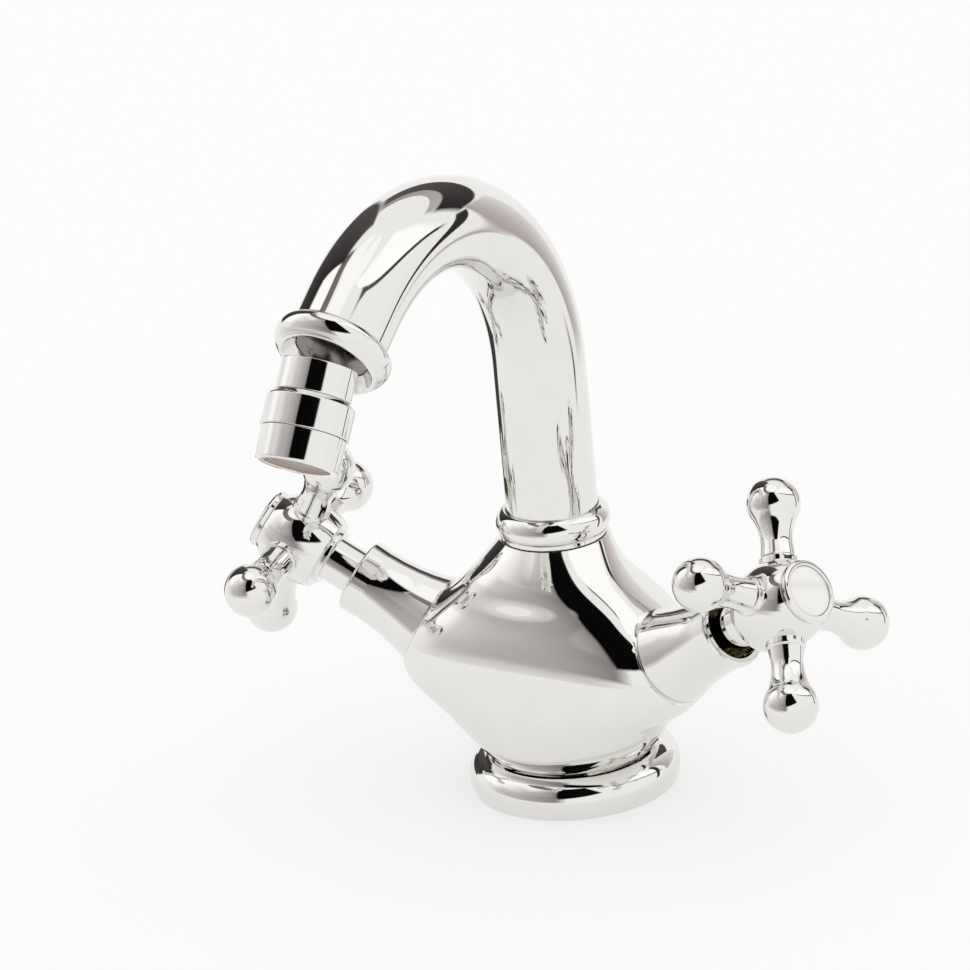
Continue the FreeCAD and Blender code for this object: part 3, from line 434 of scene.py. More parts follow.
@dataclass(frozen=True)
class Finish:
    """One real surface, with a fine pattern that varies its roughness and relief.

    Attributes:
        name: Name of the material.
        colour: Base colour, sRGB hex.
        shade: Colour that the pattern drifts to, sRGB hex.
        metallic: 1 for metal, 0 for anything else.
        smooth: Roughness where the surface is smoothest.
        rough: Roughness where it is dullest.
        patch: Size of the drifting patches, in millimetres.
        grain: Size of the relief, in millimetres.
        relief: Height of the relief, in millimetres.
        coat: Weight of a clear glaze or lacquer.
        gloss: Level of the plain reflection, where 0.5 is that of most plastics.
        stretch: How far the grain is drawn out along Z, as brush marks are.
    """

    name: str
    colour: str
    shade: str
    metallic: float
    smooth: float
    rough: float
    patch: float
    grain: float
    relief: float
    coat: float = 0.0
    gloss: float = 0.5
    stretch: float = 1.0

    def material(self) -> bpy.types.Material:
        """Build the node material, or give the one that was built before.

        Returns:
            The material.
        """
        found = bpy.data.materials.get(self.name)
        if found:
            return found
        material, tree = new_material(self.name)
        place = add_node(tree, "ShaderNodeTexCoord", {}).outputs["Object"]
        patches = add_node(tree, "ShaderNodeTexNoise", {
            **PATCH_NOISE, "Scale": 1 / (self.patch * MM), "Vector": place}).outputs["Fac"]
        tint = add_node(tree, "ShaderNodeMix", {
            "data_type": "RGBA", "Factor": patches, MIX_FROM: linear(self.colour),
            MIX_TO: linear(self.shade)})
        drift = add_node(tree, "ShaderNodeMapRange", {
            **PATCH_RANGE, "To Min": self.smooth, "To Max": self.rough, "Value": patches})
        drawn = add_node(tree, "ShaderNodeMapping", {"Scale": (1.0, 1.0, 1 / self.stretch), "Vector": place})
        grain = add_node(tree, "ShaderNodeTexNoise", {
            **GRAIN_NOISE, "Scale": 1 / (self.grain * MM), "Vector": drawn.outputs["Vector"]})
        bump = add_node(tree, "ShaderNodeBump", {
            "Strength": 1.0, "Distance": self.relief * MM, "Height": grain.outputs["Fac"]})
        shader = add_node(tree, "ShaderNodeBsdfPrincipled", {
            "Base Color": tint.outputs[MIX_RESULT], "Metallic": self.metallic,
            "Roughness": drift.outputs["Result"], "Specular IOR Level": self.gloss,
            "Normal": bump.outputs["Normal"], "Coat Weight": self.coat,
            "Coat Roughness": GLAZE_ROUGHNESS})
        add_node(tree, "ShaderNodeOutputMaterial", {"Surface": shader.outputs["BSDF"]})
        return material


SLOT_FINISHES = {
    # Mirror-polished chrome plate: a clear cool mirror, with faint wipe marks and polishing waviness.
    "polished_chrome": Finish(
        "polished_chrome_plate", "#ECEBE8", "#E6E5E2", 1.0, 0.015, 0.05, 9.0, 2.5, 0.0004),
    # Satin nickel plate of the swivel ball: dull and dark, with a fine even grain.
    "satin_steel": Finish("satin_nickel_plate", "#918D88", "#89857F", 1.0, 0.26, 0.31, 3.0, 0.6, 0.002),
    # Cast and turned brass without plating, semi-dull: brass darkened to olive, the darkening a painted shade
    # of the bell's mouth where it sits.
    "plain_brass": Finish("turned_brass", "#968660", "#7D6F4E", 1.0, 0.28, 0.45, 5.0, 0.5, 0.006),
    # Stainless steel as drawn and headed: grey, brushed.
    "stainless_steel": Finish(
        "drawn_stainless_steel", "#B9BABC", "#A6A7A9", 1.0, 0.22, 0.36, 2.0, 0.4, 0.004, stretch=4.0),
    # Moulded nitrile rubber: near black, fully matt, with a fine moulding grain.
    "black_rubber": Finish("nitrile_rubber", "#1C1C1D", "#262627", 0.0, 0.6, 0.78, 2.0, 0.35, 0.015),
    # Lapped alumina ceramic: ivory white with a silky gloss.
    "white_ceramic": Finish("lapped_alumina", "#EFEDE5", "#E6E3DA", 0.0, 0.12, 0.22, 2.0, 0.3, 0.001),
    # Glazed porcelain button: warm white under a clear glaze with slight waves.
    "white_porcelain": Finish(
        "glazed_porcelain", "#F5F3EE", "#EFECE5", 0.0, 0.14, 0.24, 3.0, 1.6, 0.004, coat=0.8),
    # Moulded acetal: milky white, waxy.
    "acetal_plastic": Finish("milky_acetal", "#E4E2DB", "#DAD7CF", 0.0, 0.35, 0.5, 3.0, 0.5, 0.004),
    # Moulded mesh plastic of the aerator: warm grey, dulled by use.
    "mesh_plastic": Finish(
        "grey_mesh_plastic", "#C3B7AF", "#B3A69E", 0.0, 0.6, 0.75, 2.0, 0.3, 0.006, gloss=0.08),
}


def dress(piece: Piece, body: str, node: str, slot: str = "polished_chrome") -> None:
    """Give a piece the finish of its slot and its place in the mechanism.

    Args:
        piece: The finished mesh.
        body: CAD body that it moves with.
        node: CAD node that it stands for.
        slot: Material slot of the record.
    """
    piece.data.materials.clear()
    piece.data.materials.append(SLOT_FINISHES[slot].material())
    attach(piece, body)
    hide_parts(node)
    LOG.info("%s: %d faces, on %s", piece.name, len(piece.data.polygons), body)


def plated(node: str, body: str, corners: Sequence[Corner], place: Matrix) -> None:
    """Turn a piece in polished chrome.

    Args:
        node: CAD node that it stands for.
        body: CAD body that it moves with.
        corners: Outline in millimetres, as rounded_outline takes it.
        place: Frame of the piece.
    """
    dress(turned(f"{node}_plated", corners, place), body, node)


# Sub-assemblies


@dataclass
class Base:
    """Half-round base ring, in millimetres."""

    radius: float = 26.0
    height: float = 9.2
    band_height: float = 3.9
    skirt_inset: float = 0.7
    skirt_height: float = 0.6
    bore: float = 16.8
    lip: float = 21.0
    seat_height: float = 7.6
    groove_inner: float = 18.15
    groove_outer: float = 21.25
    groove_height: float = 1.4

    def build(self) -> None:
        """Turn the ring with the gasket's groove in its underside."""
        skirt = self.radius - self.skirt_inset
        plated("base_ring", "tap_body", [
            (self.bore, 0.0), (self.groove_inner, 0.0), (self.groove_inner, self.groove_height),
            (self.groove_outer, self.groove_height), (self.groove_outer, 0.0), (skirt, 0.0),
            *bead((skirt, self.skirt_height), (self.radius, self.band_height), (self.lip, self.height)),
            (self.lip, self.seat_height), (self.bore, self.seat_height),
        ], HOME)


@dataclass
class Arm:
    """One arm of the mixer: bell cover, cross handle and index button, in millimetres."""

    side: Side
    turn: float  # how far the handle stands turned about the arm, in degrees
    tilt: float = 30.3
    sweep: float = 9.0
    height: float = 19.5
    seam: float = 40.1
    seam_radius: float = 11.7
    bell_length: float = 21.5
    bell_lip: float = 0.25
    bell_rim: float = 0.8
    bell_mouth: float = 9.5
    bell_waist: float = 9.3
    bell_waist_height: float = 16.5
    bell_inside: float = 9.9
    bell_shoulder: float = 6.3
    bell_thread: float = 6.95
    bell_thread_height: float = 4.0
    bell_bore: float = 7.7
    shank_foot: float = 57.4
    shank_radius: float = 5.8
    socket_radius: float = 3.95
    socket_end: float = 66.9
    screw_bore: float = 2.3
    screw_seat: float = 70.3
    counterbore: float = 4.4
    hub_start: float = 69.3
    hub_flange_radius: float = 7.2
    hub_flange_height: float = 1.3
    hub_rear_radius: float = 9.2
    hub_radius: float = 10.6
    hub_front: float = 87.0
    hub_front_radius: float = 7.6
    cross: float = 79.0
    bulbs: int = 4
    bulb_distance: float = 25.2
    bulb_radius: float = 6.55
    bulb_join: float = 0.6  # where the waist meets a bulb, from its middle, in radii
    bulb_join_width: float = 0.8
    bulb_neck_radius: float = 3.85
    bulb_neck_distance: float = 15.0
    collar_radius: float = 4.7
    collar_distance: float = 11.3
    collar_edge: float = 0.5
    bezel_radius: float = 7.8
    bezel_foot_radius: float = 7.3
    bezel_height: float = 2.0
    bezel_rim: float = 1.6
    bezel_round: float = 0.9
    bezel_plug: float = 4.35
    bezel_plug_depth: float = 4.0
    index_recess: float = 1.4
    index_crown: float = 0.35
    index_gap: float = 0.05

    def named(self, word: str) -> str:
        """Put the side before a name, as the nodes spell it."""
        return f"{self.side.name.lower()}_{word}"

    def axis(self) -> Vector:
        """Work out which way the arm points.

        Returns:
            Unit vector out along the arm.
        """
        tilt, sweep = math.radians(self.tilt), math.radians(self.sweep)
        level = math.cos(tilt)
        return Vector((self.side.value * level * math.cos(sweep), -level * math.sin(sweep), math.sin(tilt)))

    def place(self, turn: float = 0.0) -> Matrix:
        """Set up the frame of the arm.

        Args:
            turn: How far the frame is turned about the arm, in degrees.

        Returns:
            The frame: Z runs outwards along the arm, Y is its upper side at no turn.
        """
        axis = self.axis()
        across = UP.cross(axis).normalized()
        stance = Matrix((across, axis.cross(across), axis)).transposed().to_4x4()
        return moved(0.0, 0.0, self.height) @ stance @ rotated(turn, "Z")

    def build(self) -> None:
        """Make all pieces of the arm."""
        self.bell()
        self.cross_handle()
        self.index_button()

    def bell(self) -> None:
        """Turn the flared cover."""
        foot = self.seam_radius + self.bell_lip
        lip = self.bell_lip * 2
        mouth = self.seam + self.bell_length
        shoulder = self.seam + self.bell_shoulder
        thread_top = shoulder + self.bell_thread_height
        flare = self.bell_waist_height ** 2 / (2 * (foot - self.bell_waist))
        plated(self.named("bell_cover"), "tap_body", [
            (self.bell_inside, self.seam), (foot - lip, self.seam), (foot, self.seam + lip, lip),
            (self.bell_waist, self.seam + self.bell_waist_height, -flare),
            (self.bell_mouth, mouth - self.bell_rim),
            (self.bell_mouth - self.bell_rim, mouth, self.bell_rim),
            (self.bell_bore, mouth), (self.bell_bore, thread_top), (self.bell_thread, thread_top),
            (self.bell_thread, shoulder), (self.bell_inside, shoulder),
        ], self.place())

    def cross_handle(self) -> None:
        """Turn the hub and one bulb, then set the bulbs round the hub."""
        flange_top = self.hub_start + self.hub_flange_height
        middle = (flange_top + self.hub_front) / 2
        hub = turned("hub", [
            (self.socket_radius, self.shank_foot), (self.shank_radius, self.shank_foot),
            (self.shank_radius, self.hub_start), (self.hub_flange_radius, self.hub_start),
            (self.hub_flange_radius, flange_top),
            *bead((self.hub_rear_radius, flange_top), (self.hub_radius, middle),
                  (self.hub_front_radius, self.hub_front)),
            (self.counterbore, self.hub_front), (self.counterbore, self.screw_seat),
            (self.screw_bore, self.screw_seat), (self.screw_bore, self.socket_end),
            (self.socket_radius, self.socket_end),
        ], self.place(self.turn))
        join = self.bulb_distance - self.bulb_join * self.bulb_radius
        width = self.bulb_join_width * self.bulb_radius
        waist = crown(width - self.bulb_neck_radius, join - self.bulb_neck_distance)
        root = self.hub_radius / 2
        outline = [
            (0.0, root), (self.collar_radius, root),
            (self.collar_radius, self.collar_distance - self.collar_edge),
            (self.collar_radius - self.collar_edge, self.collar_distance, self.collar_edge),
            (self.bulb_neck_radius, self.bulb_neck_distance), (width, join, -waist),
            (self.bulb_radius, self.bulb_distance, self.bulb_radius),
            (0.0, self.bulb_distance + self.bulb_radius, self.bulb_radius),
        ]
        lay = moved(0.0, 0.0, self.cross) @ rotated(90.0, "Y")
        turns = [self.turn + 360.0 / self.bulbs * index for index in range(self.bulbs)]
        bulbs = [turned("bulb", outline, self.place(turn) @ lay, steps=BULB_STEPS) for turn in turns]
        handle = joined(self.named("cross_handle_plated"), [hub, *bulbs])
        dress(handle, self.named("handle"), self.named("cross_handle"))

    def index_button(self) -> None:
        """Turn the bezel and the plain porcelain button in it."""
        body = self.named("handle")
        place = self.place(self.turn)
        plug = self.hub_front - self.bezel_plug_depth
        top = self.hub_front + self.bezel_height
        well = self.bezel_radius - self.bezel_rim
        floor = top - self.index_recess
        edge = well - self.index_gap
        plated(self.named("index_bezel"), body, [
            (0.0, plug), (self.bezel_plug, plug), (self.bezel_plug, self.hub_front),
            (self.bezel_foot_radius, self.hub_front), (self.bezel_radius, top - self.bezel_round),
            (self.bezel_radius - self.bezel_round, top, self.bezel_round), (well, top), (well, floor),
            (0.0, floor),
        ], place)
        disc = turned(self.named("index_disc_glazed"), [
            (0.0, floor), (edge, floor), (edge, top - self.index_crown),
            (0.0, top, crown(self.index_crown, edge)),
        ], place)
        dress(disc, body, self.named("index_disc"), "white_porcelain")


@dataclass
class Casting:
    """Cast body between the base ring and the spout, in millimetres."""

    arms: tuple[Arm, Arm]
    foot_radius: float = 20.3
    foot_height: float = 7.6
    foot_band: float = 1.6  # straight band of the foot, inside the lip of the base ring
    spigot_radius: float = 16.5
    spigot_foot: float = 2.0
    girth: float = 25.0
    middle: float = 23.9
    shoulder: float = 20.6
    flare_height: float = 57.0
    flare_along: float = 20.1
    flare_across: float = 17.6
    flare_forward: float = 1.6
    bowl_swell: float = 1.6
    bowl_inset: float = 0.9
    neck_height: float = 65.0
    neck_radius: float = 13.4
    thread_radius: float = 12.0
    thread_top: float = 68.5
    pocket_radius: float = 8.35
    pocket_depth: float = 24.0
    bearing_radius: float = 8.5
    bearing_depth: float = 17.0
    inlet_spacing: float = 21.0
    inlet_setback: float = 1.5
    inlet_radius: float = 4.46
    inlet_depth: float = 12.0
    stud_radius: float = 3.32
    stud_depth: float = 14.0
    stud_setback: float = 11.5
    rings: int = 72
    facets: int = 144

    def section(self, along: float, across: float, height: float, bend: float = 1.0,
                shift: float = 0.0) -> tuple[float, ...]:
        """Turn the measures of an oval section into the five that point() draws it from.

        Args:
            along: Half width along the arms.
            across: Half width across them.
            height: Height above the deck.
            bend: Share of the arms' forward sweep that its long axis takes.
            shift: How far the whole section stands forward.

        Returns:
            Half width to the side, half width across, bow of its ends, forward shift and height.
        """
        sweep = math.radians(self.arms[0].sweep) * bend
        return along * math.cos(sweep), across, along * math.sin(sweep), shift, height

    def seat_section(self, offset: float) -> tuple[float, float, float]:
        """Measure the section that covers the valve seats.

        Args:
            offset: Height from the middle of the seats.

        Returns:
            Half width along the arms, half width across them and height.
        """
        arm = self.arms[0]
        tilt = math.radians(arm.tilt)
        part = offset / (arm.seam_radius * math.cos(tilt))
        across = (self.middle + part * (self.shoulder - self.girth) / 2
                  + part ** 2 * ((self.shoulder + self.girth) / 2 - self.middle))
        half_width = arm.seam_radius * math.sqrt(max(1 - part ** 2, 0.0))
        reach = arm.seam * math.cos(tilt) - offset * math.tan(tilt)
        height = arm.height + arm.seam * math.sin(tilt) + offset
        return reach / math.sqrt(1 - (half_width / across) ** 2), across, height

    def sections(self) -> np.ndarray:
        """List the sections of the casting from foot to neck.

        Returns:
            A row for each section, as section() gives it.
        """
        arm = self.arms[0]
        half_seat = arm.seam_radius * math.cos(math.radians(arm.tilt))
        seats = [self.seat_section(half_seat * part) for part in (-1.0, -1 / 3, 1 / 3, 1.0)]
        foot = np.array([self.foot_radius, self.foot_radius, self.foot_height + self.foot_band])
        swell = np.array([-self.bowl_inset, self.bowl_swell, 0.0])
        bowl = [
            self.section(*(foot + (np.array(seats[0]) - foot) * part + swell * math.sin(math.pi * part)),
                         bend=1 - (1 - part) ** 3)
            for part in (0.0, 1 / 3, 2 / 3)]
        flare = self.section(self.flare_along, self.flare_across, self.flare_height, shift=self.flare_forward)
        neck = self.section(self.neck_radius, self.neck_radius, self.neck_height, bend=0.0)
        return np.array([*bowl, *(self.section(*seat) for seat in seats), flare, neck])

    def levels(self) -> np.ndarray:
        """Run a natural cubic curve through the sections, with the foot below and the thread above.

        Returns:
            A row for each ring of vertices from the foot up, as section() gives it.
        """
        rows = self.sections()
        steps = np.linalg.norm(np.diff(rows, axis=0), axis=1)
        marks = np.concatenate([[0.0], np.cumsum(steps)])
        count = len(rows)
        system = np.eye(count)
        sides = np.zeros_like(rows)
        for i in range(1, count - 1):
            system[i, i - 1:i + 2] = steps[i - 1], 2 * (steps[i - 1] + steps[i]), steps[i]
            sides[i] = 6 * ((rows[i + 1] - rows[i]) / steps[i] - (rows[i] - rows[i - 1]) / steps[i - 1])
        bends = np.linalg.solve(system, sides)
        curve = []
        for mark in np.linspace(0.0, marks[-1], self.rings):
            i = min(int(np.searchsorted(marks, mark, side="right")) - 1, count - 2)
            a, b, step = marks[i + 1] - mark, mark - marks[i], steps[i]
            curve.append((bends[i] * a ** 3 + bends[i + 1] * b ** 3) / (6 * step)
                         + (rows[i] / step - bends[i] * step / 6) * a
                         + (rows[i + 1] / step - bends[i + 1] * step / 6) * b)
        ends = [(radius, radius, 0.0, 0.0, height) for radius, height in (
            (self.spigot_radius, self.spigot_foot), (self.spigot_radius, self.foot_height),
            (self.foot_radius, self.foot_height), (self.thread_radius, self.neck_height),
            (self.thread_radius, self.thread_top))]
        return np.array([*ends[:3], *curve, *ends[3:]])

    def point(self, level: Sequence[float], turn: float) -> Vector:
        """Find a point on the edge of a section.

        Args:
            level: The section, as section() gives it.
            turn: Angle about the upright axis, in radians.

        Returns:
            The point, in metres.
        """
        side, across, bow, shift, height = level
        forward = shift + bow * math.cos(turn) ** 2
        return Vector((side * math.cos(turn), across * math.sin(turn) - forward, height)) * MM

    def bore(self, piece: Piece, radius: float, depth: float, mouth: Matrix) -> None:
        """Cut a round hole into a piece.

        Args:
            piece: The piece.
            radius: Radius of the hole, in millimetres.
            depth: Its depth, in millimetres. The cutter stands out of the mouth by as much.
            mouth: Frame at the mouth, with Z along the hole.
        """
        cutter = fresh(bpy.ops.mesh.primitive_cylinder_add, vertices=BORE_STEPS, radius=radius * MM,
                       depth=2 * depth * MM)
        cutter.matrix_world = mouth
        bpy.ops.object.transform_apply(location=True, rotation=True, scale=True)
        modify(piece, "BOOLEAN", operation="DIFFERENCE", solver="EXACT", object=cutter)
        bpy.data.objects.remove(cutter)

    def build(self) -> None:
        """Raise a ring of vertices level by level, form it, and cut seams, pockets and holes."""
        levels = self.levels()
        piece = fresh(bpy.ops.mesh.primitive_circle_add, vertices=self.facets, radius=1.0, fill_type="NGON")
        edit_all()
        for _ in levels[1:]:
            extrude(UP)
        bpy.ops.object.mode_set(mode="OBJECT")
        for vertex in piece.data.vertices:
            level = levels[round(vertex.co.z)]
            vertex.co = self.point(level, math.atan2(vertex.co.y, vertex.co.x))
        bpy.ops.object.mode_set(mode="EDIT")
        for arm in self.arms:
            axis = arm.axis()
            bpy.ops.mesh.select_all(action="SELECT")
            bpy.ops.mesh.bisect(plane_co=(UP * arm.height + axis * arm.seam) * MM, plane_no=axis,
                                use_fill=True, clear_outer=True)
        close_mesh()
        self.bore(piece, self.bearing_radius, self.bearing_depth, moved(0.0, 0.0, self.thread_top))
        self.bore(piece, self.stud_radius, self.stud_depth, moved(0.0, self.stud_setback, self.spigot_foot))
        for arm in self.arms:
            seat = arm.place() @ moved(0.0, 0.0, arm.seam)
            self.bore(piece, self.pocket_radius, self.pocket_depth, seat)
            inlet = moved(arm.side.value * self.inlet_spacing / 2, -self.inlet_setback, self.spigot_foot)
            self.bore(piece, self.inlet_radius, self.inlet_depth, inlet)
        only(piece)
        dress(set_down("mixer_body_plated", HOME), "tap_body", "mixer_body")


@dataclass
class Spout:
    """Swan-neck tube with its collar, in millimetres."""

    foot: float = 70.0
    radius: float = 11.2
    wall: float = 1.2
    bend_start: float = 108.1
    bend_radius: float = 48.2
    bend_angle: float = 126.0
    tail: float = 11.0
    neck_height: float = 65.0
    collar_thread: float = 12.05
    collar_radius: float = 14.0
    collar_skirt_radius: float = 12.95
    collar_skirt_height: float = 1.1
    collar_band_height: float = 3.6
    collar_top: float = 7.2
    collar_top_radius: float = 11.9
    collar_lip_gap: float = 0.15
    running_gap: float = 0.1
    rise_steps: int = 8
    bend_steps: int = 96
    tail_steps: int = 4
    facets: int = 128

    def outlet_place(self) -> Matrix:
        """Frame of the outlet: Z runs out of the spout, the origin is the middle of the bead."""
        pivot = moved(0.0, -self.bend_radius, self.bend_start)
        return pivot @ rotated(self.bend_angle, "X") @ moved(0.0, self.bend_radius, self.tail)

    def build(self) -> None:
        """Make the tube and the collar at its foot."""
        self.tube()
        foot = self.neck_height + self.collar_lip_gap
        skirt = self.collar_skirt_radius
        skirt_top = foot + self.collar_skirt_height
        band = self.neck_height + self.collar_band_height
        top = self.neck_height + self.collar_top
        mouth = self.radius + self.running_gap
        lip = self.foot + self.running_gap
        plated("spout_collar", "tap_body", [
            (self.collar_thread, foot), (skirt, foot),
            *bead((skirt, skirt_top), (self.collar_radius, band), (self.collar_top_radius, top)),
            (mouth, top), (mouth, lip), (self.collar_thread, lip),
        ], HOME)

    def tube(self) -> None:
        """Raise a ring, spin it over the bend, draw out the tail and give the tube its wall."""
        piece = fresh(bpy.ops.mesh.primitive_circle_add, vertices=self.facets, radius=self.radius * MM,
                      fill_type="NOTHING", location=UP * self.foot * MM)
        bpy.ops.object.transform_apply(location=True, rotation=True, scale=True)
        edit_all()
        for _ in range(self.rise_steps):
            extrude(UP * (self.bend_start - self.foot) * MM / self.rise_steps)
        bpy.ops.mesh.spin(steps=self.bend_steps, angle=math.radians(self.bend_angle),
                          center=(0.0, -self.bend_radius * MM, self.bend_start * MM), axis=(-1.0, 0.0, 0.0))
        outwards = self.outlet_place().to_3x3() @ UP
        for _ in range(self.tail_steps):
            extrude(outwards * self.tail * MM / self.tail_steps)
        close_mesh()
        modify(piece, "SOLIDIFY", thickness=self.wall * MM, offset=-1.0, use_even_offset=True)
        dress(set_down("spout_tube_plated", HOME), "spout", "spout_tube")


@dataclass
class Aerator:
    """Outlet ring, swivel ball and the aerator that turns on it, in millimetres."""

    spout: Spout
    outlet_radius: float = 13.8
    outlet_rise: float = 2.6
    outlet_drop: float = 3.4
    outlet_lip_radius: float = 12.0
    outlet_lip_wall: float = 1.1
    outlet_lip_round: float = 0.6
    outlet_sleeve: float = 9.95
    outlet_sleeve_length: float = 6.0
    outlet_thread: float = 7.6
    stem_thread: float = 7.55
    stem_thread_length: float = 5.0
    stem_flange_radius: float = 8.4
    stem_flange_height: float = 1.0
    stem_bore: float = 2.2
    stem_root_radius: float = 6.8
    stem_curve_radius: float = 4.2
    ball_drop: float = 11.4
    ball_radius: float = 6.6
    ball_neck_radius: float = 3.6
    lean: float = 34.0
    cavity: float = 7.45
    cap_rise: float = 6.1
    cap_radius: float = 8.7
    cap_drop: float = 1.1
    cap_mouth_radius: float = 7.9
    cap_throat_radius: float = 6.3
    carrier_shoulder: float = 2.4
    carrier_radius: float = 10.1
    carrier_end: float = 9.5
    carrier_bore: float = 5.0
    carrier_web: float = 0.8
    seal_wire: float = 1.4
    seal_drop: float = 4.75
    housing_radius: float = 9.65
    housing_mouth_radius: float = 9.45
    housing_length: float = 7.6
    housing_rim: float = 1.5
    housing_thread: float = 8.4
    housing_bore: float = 7.5
    gasket_height: float = 0.8
    insert_height: float = 4.0
    insert_ledge: float = 1.0
    mesh_height: float = 0.8
    mesh_recess: float = 0.9
    mesh_rim: float = 1.3
    mesh_edge: float = 0.1
    mesh_pitch: float = 0.95
    mesh_wire: float = 0.45
    fit_gap: float = 0.05
    free_gap: float = 0.3

    def place(self) -> Matrix:
        """Frame of the aerator: Z runs down along it, the origin is the middle of the ball."""
        middle = self.spout.outlet_place() @ (UP * self.ball_drop * MM)
        return Matrix.Translation(middle) @ rotated(180.0 - self.lean, "X")

    def build(self) -> None:
        """Make all pieces from the outlet ring to the mesh."""
        self.outlet_ring()
        self.ball()
        self.swivel()
        self.housing()

    def outlet_ring(self) -> None:
        """Turn the beaded ring at the end of the tube."""
        grip = self.spout.radius + self.fit_gap
        sleeve_end = -(self.outlet_rise + self.outlet_sleeve_length)
        lip = self.outlet_lip_radius
        seat = self.stem_flange_radius + self.free_gap
        plated("outlet_ring", "spout", [
            (self.outlet_thread, sleeve_end), (self.outlet_sleeve, sleeve_end), (self.outlet_sleeve, 0.0),
            (grip, 0.0), *bead((grip, -self.outlet_rise), (self.outlet_radius, 0.0), (lip, self.outlet_drop)),
            (lip - self.outlet_lip_wall, self.outlet_drop + self.outlet_lip_round, self.outlet_lip_wall),
            (seat, self.stem_flange_height, -self.outlet_radius), (seat, 0.0), (self.outlet_thread, 0.0),
        ], self.spout.outlet_place())

    def ball(self) -> None:
        """Turn the ball and its threaded stem."""
        meet = sphere_width(self.ball_radius, self.ball_neck_radius)
        bore_meet = sphere_width(self.ball_radius, self.stem_bore)
        flange, flange_end = self.stem_flange_radius, self.stem_flange_height
        ball = turned("swivel_ball_satin", [
            (self.stem_bore, -self.stem_thread_length), (self.stem_thread, -self.stem_thread_length),
            (self.stem_thread, 0.0), (flange, 0.0), (flange, flange_end), (self.stem_root_radius, flange_end),
            (self.ball_neck_radius, self.ball_drop - meet, -self.stem_curve_radius),
            (self.ball_radius, self.ball_drop, self.ball_radius),
            (self.stem_bore, self.ball_drop + bore_meet, self.ball_radius),
        ], self.spout.outlet_place())
        dress(ball, "spout", "swivel_ball", "satin_steel")

    def seal_floor(self) -> float:
        """Distance from the middle of the ball to the floor under its seal."""
        return self.seal_drop + self.seal_wire / 2 + self.fit_gap

    def swivel(self) -> None:
        """Turn the cap and the carrier that hold the ball between them."""
        throat = sphere_width(self.cavity, self.cap_throat_radius)
        plated("swivel_cap", "aerator", [
            (self.cap_mouth_radius, -self.cap_rise), (self.cap_radius, -self.cap_rise),
            (self.cap_radius, self.cap_drop), (sphere_width(self.cavity, self.cap_drop), self.cap_drop),
            (self.cavity, 0.0, -self.cavity), (self.cap_throat_radius, -throat, -self.cavity),
        ], self.place())
        room = self.seal_wire / 2 + self.fit_gap
        seal = sphere_width(self.ball_radius + room, self.seal_drop) + room
        floor = self.seal_floor()
        web = floor + self.carrier_web
        seat = self.cap_drop + self.fit_gap
        neck = self.housing_thread + self.fit_gap
        plated("swivel_carrier", "aerator", [
            (self.carrier_bore, floor), (seal, floor), (seal, sphere_width(self.cavity, seal)),
            (sphere_width(self.cavity, seat), seat, -self.cavity), (self.cap_radius, seat),
            (self.carrier_radius, self.carrier_shoulder), (self.carrier_radius, self.carrier_end),
            (neck, self.carrier_end), (neck, web), (self.carrier_bore, web),
        ], self.place())

    def housing(self) -> None:
        """Turn the housing and set the mesh in its mouth."""
        end = self.seal_floor() + self.carrier_web + self.gasket_height
        shoulder = self.carrier_end + self.fit_gap
        mouth = shoulder + self.housing_length
        face = mouth - self.mesh_recess
        back = face - self.mesh_height
        ledge = self.housing_bore - self.insert_ledge
        insert_top = back - self.insert_height
        ease = self.housing_rim / 3
        plated("aerator_housing", "aerator", [
            (ledge, end), (self.housing_thread, end), (self.housing_thread, shoulder),
            (self.housing_radius, shoulder), (self.housing_mouth_radius, mouth - ease),
            (self.housing_mouth_radius - ease, mouth, ease),
            (self.housing_bore, mouth), (self.housing_bore, insert_top), (ledge, insert_top),
        ], self.place())
        self.mesh(back, face)

    def mesh(self, back: float, face: float) -> None:
        """Make the mesh from a turned rim and a grid of crossing wires.

        Args:
            back: Distance of its inner face from the middle of the ball.
            face: The same for its outer face.
        """
        edge = self.housing_bore - self.fit_gap
        inside = edge - self.mesh_rim
        rim = turned("aerator_mesh_moulded", [(inside, back), (edge, back), (edge, face), (inside, face)],
                     self.place(), self.mesh_edge)
        cells = round(2 * edge / self.mesh_pitch)
        grid = fresh(bpy.ops.mesh.primitive_grid_add, x_subdivisions=cells, y_subdivisions=cells,
                     size=2 * edge * MM)
        edit_all()
        bpy.ops.mesh.select_all(action="DESELECT")
        bpy.ops.object.mode_set(mode="OBJECT")
        for vertex in grid.data.vertices:
            vertex.select = vertex.co.length > (edge - self.mesh_wire) * MM
        bpy.ops.object.mode_set(mode="EDIT")
        bpy.ops.mesh.delete(type="VERT")
        bpy.ops.object.mode_set(mode="OBJECT")
        modify(grid, "WIREFRAME", thickness=self.mesh_wire * MM)
        grid = set_down("aerator_mesh_wires", self.place() @ moved(0.0, 0.0, (back + face) / 2))
        dress(joined(rim.name, [rim, grid]), "aerator", "aerator_mesh", "mesh_plastic")


# Studio


